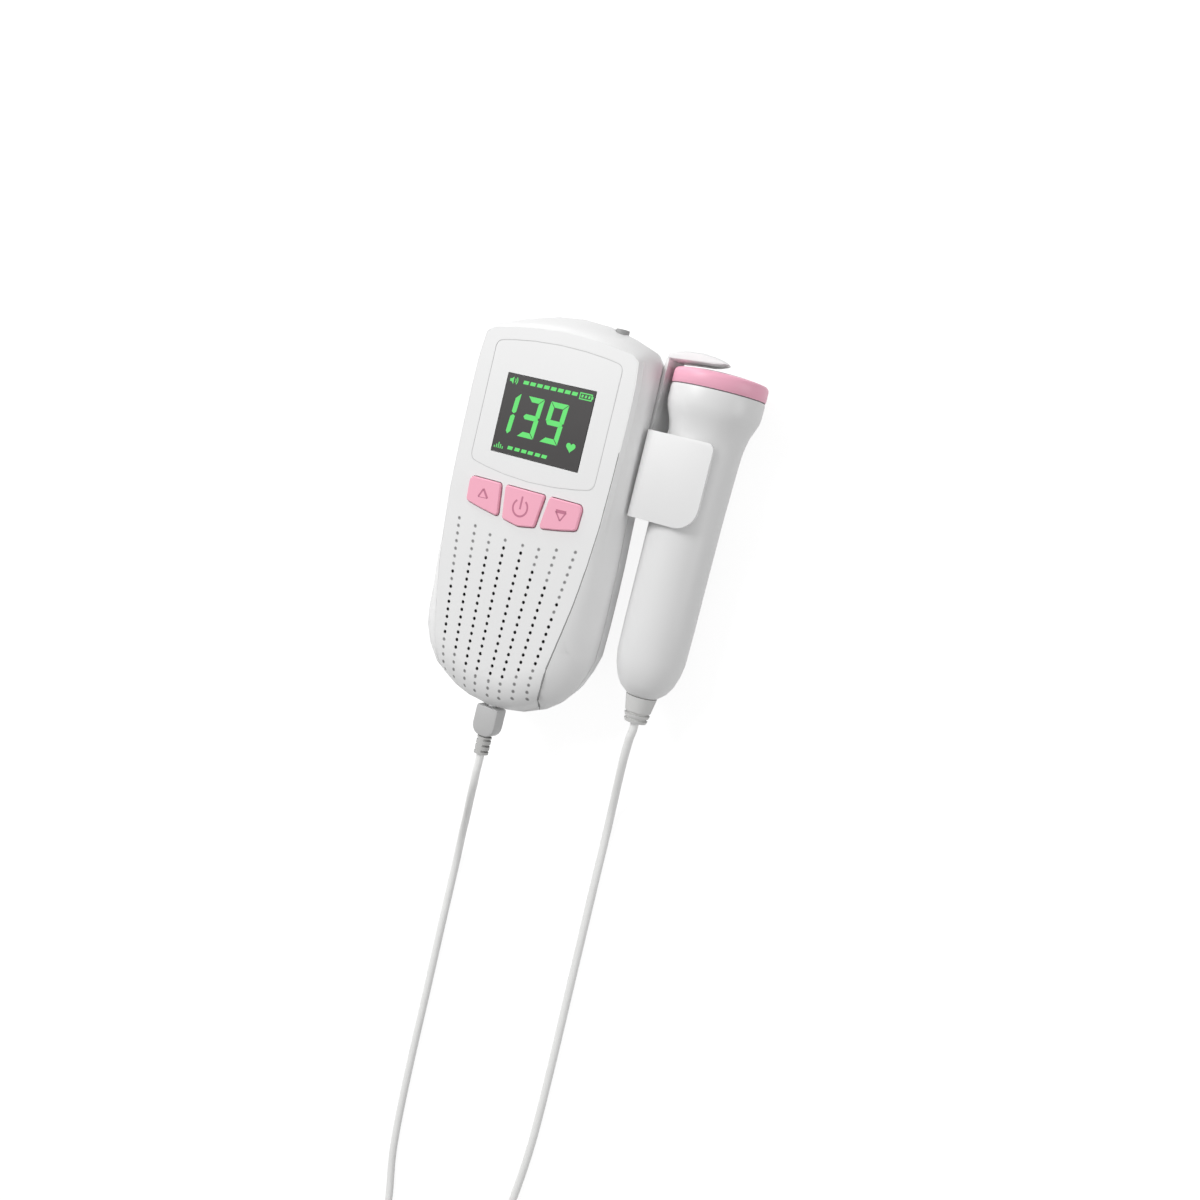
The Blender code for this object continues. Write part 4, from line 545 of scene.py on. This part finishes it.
def coilLine(settings):
    # In along the lower layer, up to the next in half a turn, and out again along the upper one
    turns, steps = settings["coilTurns"], settings["coilSteps"]
    outer, pitch = settings["coilOuter"], settings["coilPitch"]
    inward, climb = turns * steps, steps // 2
    x, y = settings["coilCentre"]
    line = []
    for i in range(inward + climb + inward + 1):
        angle = math.pi + math.tau * i / steps
        if i <= inward:
            radius, height = outer - pitch * i / steps, settings["coilHeight"]
        elif i <= inward + climb:
            share = (i - inward) / climb
            radius = outer - pitch * (turns + settings["coilDip"] * math.sin(math.pi * share))
            height = settings["coilHeight"] + pitch * (share - math.sin(math.tau * share) / math.tau)
        else:
            radius = outer - pitch * turns + pitch * (i - inward - climb) / steps
            height = settings["coilHeight"] + pitch
        line.append(Vector((x + radius * math.cos(angle), y + radius * math.sin(angle), height)))
    return line


def lineLength(line):
    return sum((b - a).length for a, b in zip(line, line[1:]))


def makeCords(settings):
    radius, sides = settings["radius"], settings["sides"]
    coil = coilLine(settings)
    plugLine = follow(settings["plugRun"] + [coil[0]], settings["steps"])[:-1] + coil
    plugCord = newPiece("plugCord", tubeShape(plugLine, radius, sides), cordRubber,
                        angle=settings["softAngle"])
    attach(plugCord, "monitor")
    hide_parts("cord_plug_run", "cord_coil")
    lineLength(plugLine)
    probeLine = follow(settings["probeRun"], settings["steps"])
    probeCord = newPiece("probeCord", tubeShape(probeLine, radius, sides), cordRubber,
                         angle=settings["softAngle"])
    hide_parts("cord_probe_run")
    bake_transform(probeCord)
    lineLength(probeLine)
    print("cords: %.3f m and %.3f m" % (lineLength(plugLine), lineLength(probeLine)))


makeCamera(camera)
makeCords(cord)


nodeFinishes = {
    whitePlastic: ["front_shell", "rear_shell", "battery_door"],
    panelPlastic: ["front_panel"],
    bezelPlastic: ["screen_bezel"],
    palePlastic: ["probe_shell"],
    clipPlastic: ["probe_clip"],
    pinkPlastic: ["up_button", "power_button", "down_button"],
    capPlastic: ["probe_cap"],
    blackPlastic: ["display_module", "up_switch", "power_switch", "down_switch", "speaker", "battery_tray",
                   "probe_socket", "backing_disc"],
    greyPlastic: ["headphone_jack"],
    plugPlastic: ["plug_body"],
    reliefRubber: ["probe_relief"],
    plugRubber: ["plug_relief"],
    brightSteel: ["case_screw_1", "case_screw_2", "case_screw_3", "case_screw_4", "clip_screw_1",
                  "clip_screw_2", "plug_pin", "contact_top", "contact_bottom"],
    ceramic: ["crystal_left", "crystal_right"],
    board: ["main_board", "probe_board"],
    cellSleeve: ["battery_left", "battery_right"],
    displayGlass: ["screen_window"],
    tapeWeave: ["cord_tie"],
}

# How the solids' facets are smoothed: edges sharper than the angle in degrees stay sharp
smoothing = {
    "weld": 0.000002,
    "angle": 32,
    "ownAngles": {"probe_shell": 60, "probe_cap": 50, "front_panel": 34, "front_shell": 50,
                  "plug_relief": 40, "probe_relief": 40},
    "rounded": {"probe_clip": 0.00045},
    "roundedAngle": 40,
    "roundedSteps": 3,
}


def smoothNode(name, settings):
    item = nodes[name]
    mesh = item.data
    for label in ("custom_normal", "sharp_edge", "sharp_face"):
        if label in mesh.attributes:
            mesh.attributes.remove(mesh.attributes[label])
    mesh.polygons.foreach_set("use_smooth", [True] * len(mesh.polygons))
    weld = item.modifiers.new("join", "WELD")
    weld.merge_threshold = settings["weld"]
    if name in settings["rounded"]:
        soft = item.modifiers.new("softEdges", "BEVEL")
        soft.width = settings["rounded"][name]
        soft.segments = settings["roundedSteps"]
        soft.limit_method = "ANGLE"
        soft.angle_limit = math.radians(settings["roundedAngle"])
        soft.use_clamp_overlap = True
    split = item.modifiers.new("edges", "EDGE_SPLIT")
    split.split_angle = math.radians(settings["ownAngles"].get(name, settings["angle"]))
    split.use_edge_sharp = False


def dressNodes(settings):
    for finish, names in nodeFinishes.items():
        for name in names:
            nodes[name].data.materials.clear()
            nodes[name].data.materials.append(finish.material)
            smoothNode(name, settings)
    print("nodes dressed")


dressNodes(smoothing)


def surfaceTop(name):
    # Finds the height of a node's upper surface under a point
    mesh = nodes[name].data
    corners = [vertex.co.copy() for vertex in mesh.vertices]
    tree = BVHTree.FromPolygons(corners, [tuple(polygon.vertices) for polygon in mesh.polygons])
    start, down = 0.1, Vector((0, 0, -1))

    def height(x, y):
        hit = tree.ray_cast(Vector((x, y, start)), down)
        return hit[0].z if hit[0] else None
    return height


# Thin seals that fill the joints between panel, frame and display surround, nearly flush with the face, in
# millimetres. The surround's grey seal and the crease's dark grey one, widening downwards, are painted shade
# of those joints. The frame's joint is given as its right half, from the display's centre.
seals = {
    "frameLine": [(0, 31.384), (9.992, 30.958), (19.984, 29.964), (28.511, 28.544), (31.403, 26.556),
                  (32.318, 19.03), (32.647, 7.954), (32.571, -4.0), (32.501, -12.068)],
    "frameInset": 0.3,
    "frameDepth": 0.03,
    "edgeTop": -4.0,
    "edgeEnd": -98.0,
    "edgeReach": 34.0,
    "edgeStride": 0.4,
    "edgeShift": 0.16,
    "edgeSteps": 48,
    "creaseDepth": -0.015,
    "creaseShadeWidths": (0.14, 0.66),
    "surroundStart": (22.0, 18.0),
    "surroundDepth": 0.10,
    "surroundShift": 0.144,
    "surroundSteps": 160,
    "width": 0.36,
    "height": 0.7,
    "softAngle": 40,
    "step": 0.05,
    "drop": 0.4,
}


def framePath(settings):
    # The joint line round the top, drawn in by its inset, down to where the panel's edges are followed
    half = [Vector(spot) for spot in settings["frameLine"]]
    spots = [Vector((-spot.x, spot.y)) for spot in half[:0:-1]] + half
    path = []
    for k, spot in enumerate(spots[1:-1], 1):
        run = (spots[k + 1] - spots[k - 1]).normalized()
        inside = spot + Vector((run.y, -run.x)) * settings["frameInset"]
        path.append((inside, settings["frameDepth"], settings["width"]))
    return path


def edgePath(settings, side, depth, widths):
    # Follows the panel's left or right edge down over the rounded end. Each place is found from outside,
    # first by long strides and then by shorter ones.
    top = surfaceTop("front_panel")
    path = []
    for k in range(settings["edgeSteps"] + 1):
        share = k / settings["edgeSteps"]
        y = settings["edgeTop"] + (settings["edgeEnd"] - settings["edgeTop"]) * share
        x, stride = settings["edgeReach"], settings["edgeStride"]
        while stride > settings["step"] / 2:
            while top(*facePoint(x * side, y).xy) is None:
                x -= stride
            x += stride
            stride /= 4
        x = (x - stride * 4) * side
        fall = (facePoint(0, 0).z - top(*facePoint(x, y).xy)) * 1000
        path.append((Vector((x + settings["edgeShift"] * side, y)), fall + depth,
                     widths[0] + (widths[1] - widths[0]) * share))
    return path


def surroundPath(settings):
    # Walks outward from the display to the joint round its surround
    top = surfaceTop("screen_bezel")
    wide, high = settings["surroundStart"]
    level = facePoint(0, 0).z
    path = []
    for k in range(settings["surroundSteps"]):
        angle = math.tau * k / settings["surroundSteps"]
        ahead = Vector((math.cos(angle), math.sin(angle)))
        reach = 1 / max(abs(ahead.x) / wide, abs(ahead.y) / high)
        while True:
            here = top(*facePoint(*(ahead * reach)).xy)
            if here is None or level - here > settings["drop"] / 1000:
                break
            reach += settings["step"]
        path.append((ahead * (reach + settings["surroundShift"]), settings["surroundDepth"],
                     settings["width"]))
    return path


def makeSeal(name, path, finish, settings, closed=False):
    # A strip of square section along a path of places, depths and widths
    rows = []
    last = len(path) - 1
    for k, (spot, depth, width) in enumerate(path):
        before = path[k - 1][0] if closed or k else spot
        after = path[(k + 1) % len(path)][0] if closed or k < last else spot
        run = (after - before).normalized()
        side = Vector((run.y, -run.x)) * width / 2
        low = depth + settings["height"]
        rows.append([facePoint(*(spot + side), depth), facePoint(*(spot - side), depth),
                     facePoint(*(spot - side), low), facePoint(*(spot + side), low)])
    shape = bmesh.new()
    skin(shape, rows, closed)
    newPiece(name, shape, finish, "monitor", angle=settings["softAngle"])


def makeSeals(settings):
    plainWidths = (settings["width"], settings["width"])
    leftPath = edgePath(settings, -1, settings["frameDepth"], plainWidths)
    creasePath = edgePath(settings, 1, settings["creaseDepth"], settings["creaseShadeWidths"])
    makeSeal("frameSeal", framePath(settings), whitePlastic, settings)
    makeSeal("leftSeal", leftPath, whitePlastic, settings)
    # The crease's seal is dark grey and widens downwards, and the surround's is grey: painted shade of those
    # joints
    makeSeal("creaseSealShade", creasePath, creasePaintedShade, settings)
    makeSeal("surroundSealShade", surroundPath(settings), surroundPaintedShade, settings, closed=True)
    print("seals laid")


makeSeals(seals)


# A dark ring in the joint under the probe's cap, painted shade of that joint, in millimetres
capRing = {"radius": 16.22, "width": 0.42, "depth": 0.5, "sides": 64, "softAngle": 40}


def makeCapRing(settings):
    low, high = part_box("probe_cap")
    x, seam, z = (low[0] + high[0]) / 2, low[1], (low[2] + high[2]) / 2
    outer, inner = settings["radius"] / 1000, (settings["radius"] - settings["depth"]) / 1000
    half = settings["width"] / 2000
    angles = [math.tau * k / settings["sides"] for k in range(settings["sides"])]
    rows = [[(x + radius * math.cos(a), seam + shift, z + radius * math.sin(a)) for a in angles]
            for radius, shift in ((outer, half), (outer, -half), (inner, -half), (inner, half))]
    shape = bmesh.new()
    skin(shape, rows, closed=True)
    newPiece("capRing", shape, seamPaintedShade, "probe", angle=settings["softAngle"])
    print("cap ring laid")


makeCapRing(capRing)


# The lit marks, in millimetres from the display's centre
display = {
    "lift": 0.02,
    "digits": {"height": 14.4, "low": -6.9, "slant": 0.085, "stroke": 1.85, "gap": 0.34},
    "drawn": [(-13.95, 1.7, ["oneUp", "oneLow"]),
              (-9.15, 6.9, ["top", "middle", "low", "rightUp", "rightLow"]),
              (0.45, 7.4, ["top", "middle", "low", "rightUp", "rightLow", "leftUp"])],
    "bars": [{"y": 11.75, "size": (2.2, 1.25), "centres": [-10.2, -7.3, -4.4, -1.5, 1.4, 4.3, 7.2, 10.1]},
             {"y": -11.6, "size": (2.1, 1.2), "centres": [-10.6, -7.6, -4.7, -1.9, 1.1, 3.9]}],
    "barLean": 0.12,
    "battery": {"left": 12.1, "right": 17.2, "low": 10.35, "high": 12.75, "stroke": 0.38, "nose": 0.42,
                "noseInset": 0.75, "cellInset": 0.72, "cellHalf": 0.375, "cellLean": 0.1,
                "cells": (13.305, 14.685, 16.065)},
    "loudspeaker": {"cone": [(-17.1, 11.2), (-16.4, 11.2), (-15.5, 10.4), (-15.5, 13.0), (-16.4, 12.2),
                             (-17.1, 12.2)],
                    "centre": (-15.6, 11.7), "radii": (1.0, 1.75), "half": 0.18,
                    "degrees": range(-42, 43, 12)},
    "volume": {"left": -17.3, "low": -12.6, "pitch": 0.85, "half": 0.2,
               "heights": (0.7, 1.3, 2.1, 1.5, 0.9)},
    "heart": {"centre": (13.4, -6.3), "scale": 0.118, "steps": 28},
}


def rectangle(left, right, low, high, lean=0.0):
    return [(left - lean, low), (right - lean, low), (right + lean, high), (left + lean, high)]


def arc(centre, radius, degrees):
    return [(centre[0] + radius * math.cos(math.radians(d)), centre[1] + radius * math.sin(math.radians(d)))
            for d in degrees]


def digitMarks(settings, left, width, lit):
    # The lit strokes of one digit, drawn upright from its lower left corner, then slanted.
    # Here s is a stroke's width and g half the gap between two; the shares of s shape the strokes' ends.
    high, half, s, g = settings["height"], settings["height"] / 2, settings["stroke"], settings["gap"] / 2
    outlines = {
        "top": [(g, high), (width - g, high), (width - s - g, high - s), (s + g, high - s)],
        "low": [(s + g, s), (width - s - g, s), (width - g, 0), (g, 0)],
        "middle": [(s * 0.55 + g, half + s / 2), (width - s * 0.55 - g, half + s / 2), (width - g * 2, half),
                   (width - s * 0.55 - g, half - s / 2), (s * 0.55 + g, half - s / 2), (g * 2, half)],
        "rightUp": [(width, high - g), (width, half + s * 0.25), (width - s * 0.45, half + g),
                    (width - s, half + s * 0.5 + g), (width - s, high - s - g)],
        "rightLow": [(width, g), (width - s, s + g), (width - s, half - s * 0.5 - g),
                     (width - s * 0.45, half - g), (width, half - s * 0.25)],
        "leftUp": [(0, high - g), (s, high - s - g), (s, half + s * 0.5 + g), (s * 0.45, half + g),
                   (0, half + s * 0.25)],
        "oneUp": [(width, high + s * 0.1), (width, half + s * 0.45), (width - s * 0.45, half + g),
                  (width - s, half + s * 0.4), (width - s, high - s * 0.9)],
        "oneLow": [(width, s * 0.6), (width - s * 0.55, 0), (width - s, s * 0.5),
                   (width - s, half - s * 0.5), (width - s * 0.5, half - g), (width, half - s * 0.35)],
    }
    return [[(left + x + y * settings["slant"], settings["low"] + y) for x, y in outlines[name]]
            for name in lit]


def barMarks(row, lean):
    w, h = row["size"][0] / 2, row["size"][1] / 2
    return [rectangle(x - w, x + w, row["y"] - h, row["y"] + h, lean) for x in row["centres"]]


def batteryMarks(settings):
    # A frame of four strokes, a nose and three leaning cells
    left, right, low, high = (settings[side] for side in ("left", "right", "low", "high"))
    stroke, inset = settings["stroke"], settings["cellInset"]
    marks = [rectangle(left, right, high - stroke, high), rectangle(left, right, low, low + stroke),
             rectangle(left, left + stroke, low + stroke, high - stroke),
             rectangle(right - stroke, right, low + stroke, high - stroke),
             rectangle(right, right + settings["nose"], low + settings["noseInset"],
                       high - settings["noseInset"])]
    for x in settings["cells"]:
        marks.append(rectangle(x - settings["cellHalf"], x + settings["cellHalf"], low + inset, high - inset,
                               settings["cellLean"]))
    return marks


def loudspeakerMarks(settings):
    # A cone and two arcs
    marks = [settings["cone"]]
    for radius in settings["radii"]:
        outer = arc(settings["centre"], radius + settings["half"], settings["degrees"])
        inner = arc(settings["centre"], radius - settings["half"], reversed(settings["degrees"]))
        marks.append(outer + inner)
    return marks


def volumeMarks(settings):
    # Upright bars that rise and fall
    marks = []
    for k, height in enumerate(settings["heights"]):
        x = settings["left"] + k * settings["pitch"]
        marks.append(rectangle(x - settings["half"], x + settings["half"], settings["low"],
                               settings["low"] + height))
    return marks


def heartMark(settings):
    # The usual heart curve, in sines and cosines
    (x, y), scale = settings["centre"], settings["scale"]
    turns = [math.tau * k / settings["steps"] for k in range(settings["steps"])]
    return [(x + scale * 16 * math.sin(t) ** 3,
             y + scale * (13 * math.cos(t) - 5 * math.cos(2 * t) - 2 * math.cos(3 * t) - math.cos(4 * t)))
            for t in turns]


def makeDisplay(settings):
    # The lit marks lie on the display's face
    marks = batteryMarks(settings["battery"]) + loudspeakerMarks(settings["loudspeaker"])
    marks += volumeMarks(settings["volume"]) + [heartMark(settings["heart"])]
    for left, width, lit in settings["drawn"]:
        marks += digitMarks(settings["digits"], left, width, lit)
    for row in settings["bars"]:
        marks += barMarks(row, settings["barLean"])
    level, lift = surfaceTop("screen_window")(*facePoint(0, 0).xy), settings["lift"] / 1000
    shape = bmesh.new()
    for outline in marks:
        spots = [tuple(facePoint(x, y).xy) for x, y in outline]
        skin(shape, [[(x, y, z) for x, y in spots] for z in (level - lift, level + lift)])
    newPiece("displayMarks", shape, displayGreen, "monitor", smooth=False)
    print("display drawn")


makeDisplay(display)


# The signs on the keys, which are engraved in the real keys, drawn as dark pink strokes standing just over
# the keys' tops as painted shade of the engravings, in millimetres from the display's centre. Each triangle's
# sides are as wide as the shade that falls on them.
signs = {
    "lift": 0.015,
    "depth": 0.09,
    "powerCentre": (-0.2, -30.9),
    "ringRadius": 3.0,
    "ringWidth": 0.72,
    "ringDegrees": range(56, -237, -8),
    "barTop": -26.8,
    "barLow": -31.4,
    "triangleWidth": 0.55,
    "up": [(-16.9, -27.9), (-18.5, -31.1), (-14.5, -30.9)],
    "down": [(14.15, -28.5), (18.4, -28.3), (16.6, -31.5)],
    "upShadeWidths": (1.2, 0.5, 1.5),
    "downShadeWidths": (2.2, 1.0, 1.0),
}


def strokeRows(line, width, top, settings):
    # Sections of a line drawn on a surface: two corners just over it, and two under it
    rows = []
    lift, sink = Vector((0, 0, settings["lift"])) / 1000, Vector((0, 0, settings["depth"])) / 1000
    for i, (x, y) in enumerate(line):
        ax, ay = line[max(i - 1, 0)]
        bx, by = line[min(i + 1, len(line) - 1)]
        share = width / 2 / math.hypot(bx - ax, by - ay)
        acrossX, acrossY = -(by - ay) * share, (bx - ax) * share
        left, right = facePoint(x + acrossX, y + acrossY), facePoint(x - acrossX, y - acrossY)
        left.z, right.z = top(left.x, left.y), top(right.x, right.y)
        rows.append([left + lift, right + lift, right - sink, left - sink])
    return rows


def makeSign(name, key, body, lines, settings):
    top = surfaceTop(key)
    shape = bmesh.new()
    for line, width in lines:
        skin(shape, strokeRows(line, width, top, settings))
    newPiece(name, shape, signPaintedShade, body)


def finely(first, second, steps=8):
    return [(first[0] + (second[0] - first[0]) * k / steps, first[1] + (second[1] - first[1]) * k / steps)
            for k in range(steps + 1)]


def triangleLines(corners, widths, settings):
    return [(finely(corners[k], corners[(k + 1) % 3]), settings["triangleWidth"] * widths[k])
            for k in range(3)]


def makeSigns(settings):
    x, width = settings["powerCentre"][0], settings["ringWidth"]
    ring = arc(settings["powerCentre"], settings["ringRadius"], settings["ringDegrees"])
    bar = finely((x, settings["barTop"]), (x, settings["barLow"]))
    makeSign("powerSign", "power_button", "power_key", [(ring, width), (bar, width)], settings)
    upLines = triangleLines(settings["up"], settings["upShadeWidths"], settings)
    makeSign("upSign", "up_button", "up_key", upLines, settings)
    downLines = triangleLines(settings["down"], settings["downShadeWidths"], settings)
    makeSign("downSign", "down_button", "down_key", downLines, settings)
    print("signs drawn")


makeSigns(signs)


# Grey paper that the camera sees as nearly white, with the object's soft shadow
floor = {"bounce": 0.37, "slowScale": 6, "slowShare": 1.02, "shade": 0.24, "lift": 0.89, "rough": 0.9,
         "reach": 6, "squares": 24, "drop": 0.0001}


def makeFloor(settings):
    finish = Finish("floorPaper", {"Roughness": settings["rough"], "Specular IOR Level": 0.0})
    bounce, slow = grey(settings["bounce"]), finish.noise(settings["slowScale"])
    finish.surface("Base Color", finish.mix(slow, bounce, scaled(bounce, settings["slowShare"])))
    paper = finish.add("ShaderNodeBsdfDiffuse", None, {"Color": grey(settings["shade"])})
    extra = finish.add("ShaderNodeEmission", None, {"Color": grey(1), "Strength": settings["lift"]})
    lifted = finish.add("ShaderNodeAddShader", None, {0: paper, 1: extra})
    plain = Wire(finish, finish.shader.outputs["BSDF"])
    finish.feed(finish.output.inputs["Surface"], finish.blend(finish.seenDirectly(), plain, lifted))
    shape = bmesh.new()
    bmesh.ops.create_grid(shape, x_segments=settings["squares"], y_segments=settings["squares"],
                          size=settings["reach"])
    item = newPiece("floor", shape, finish, smooth=False)
    item.location.z = -settings["drop"]


light = {
    "ambient": 0.42,
    "backdrop": 1.0,
    "aim": (0.0, 0.0, 0.02),
    "lamps": {
        "keyLamp": {"power": 7.6, "place": (-0.52, 0.46, 0.90), "size": 0.6},
        "rimLamp": {"power": 2.6, "place": (-0.72, 0.90, 0.26), "size": 0.4},
        "fillLamp": {"power": 3.6, "place": (1.20, 0.12, 0.12), "size": 0.5},
    },
}


def makeLamp(name, settings, aim):
    lamp = bpy.data.lights.new(name, "AREA")
    lamp.energy = settings["power"]
    lamp.size = settings["size"]
    lamp.shape = "DISK"
    item = bpy.data.objects.new(name, lamp)
    item.location = settings["place"]
    ahead = Vector(aim) - Vector(settings["place"])
    item.rotation_euler = ahead.to_track_quat("-Z", "Y").to_euler()
    bpy.context.scene.collection.objects.link(item)


def makeLights(settings):
    for name, lamp in settings["lamps"].items():
        makeLamp(name, lamp, settings["aim"])
    world = bpy.data.worlds.new("studio")
    bpy.context.scene.world = world
    world.use_nodes = True
    web = Web(world.node_tree)
    room, backdrop = (web.add("ShaderNodeBackground", None, {"Color": grey(1), "Strength": settings[name]})
                      for name in ("ambient", "backdrop"))
    output = world.node_tree.nodes["World Output"]
    web.feed(output.inputs["Surface"], web.blend(web.seenDirectly(), room, backdrop))


makeFloor(floor)
makeLights(light)
bpy.context.scene.view_settings.view_transform = "Standard"
print("floor and light set")
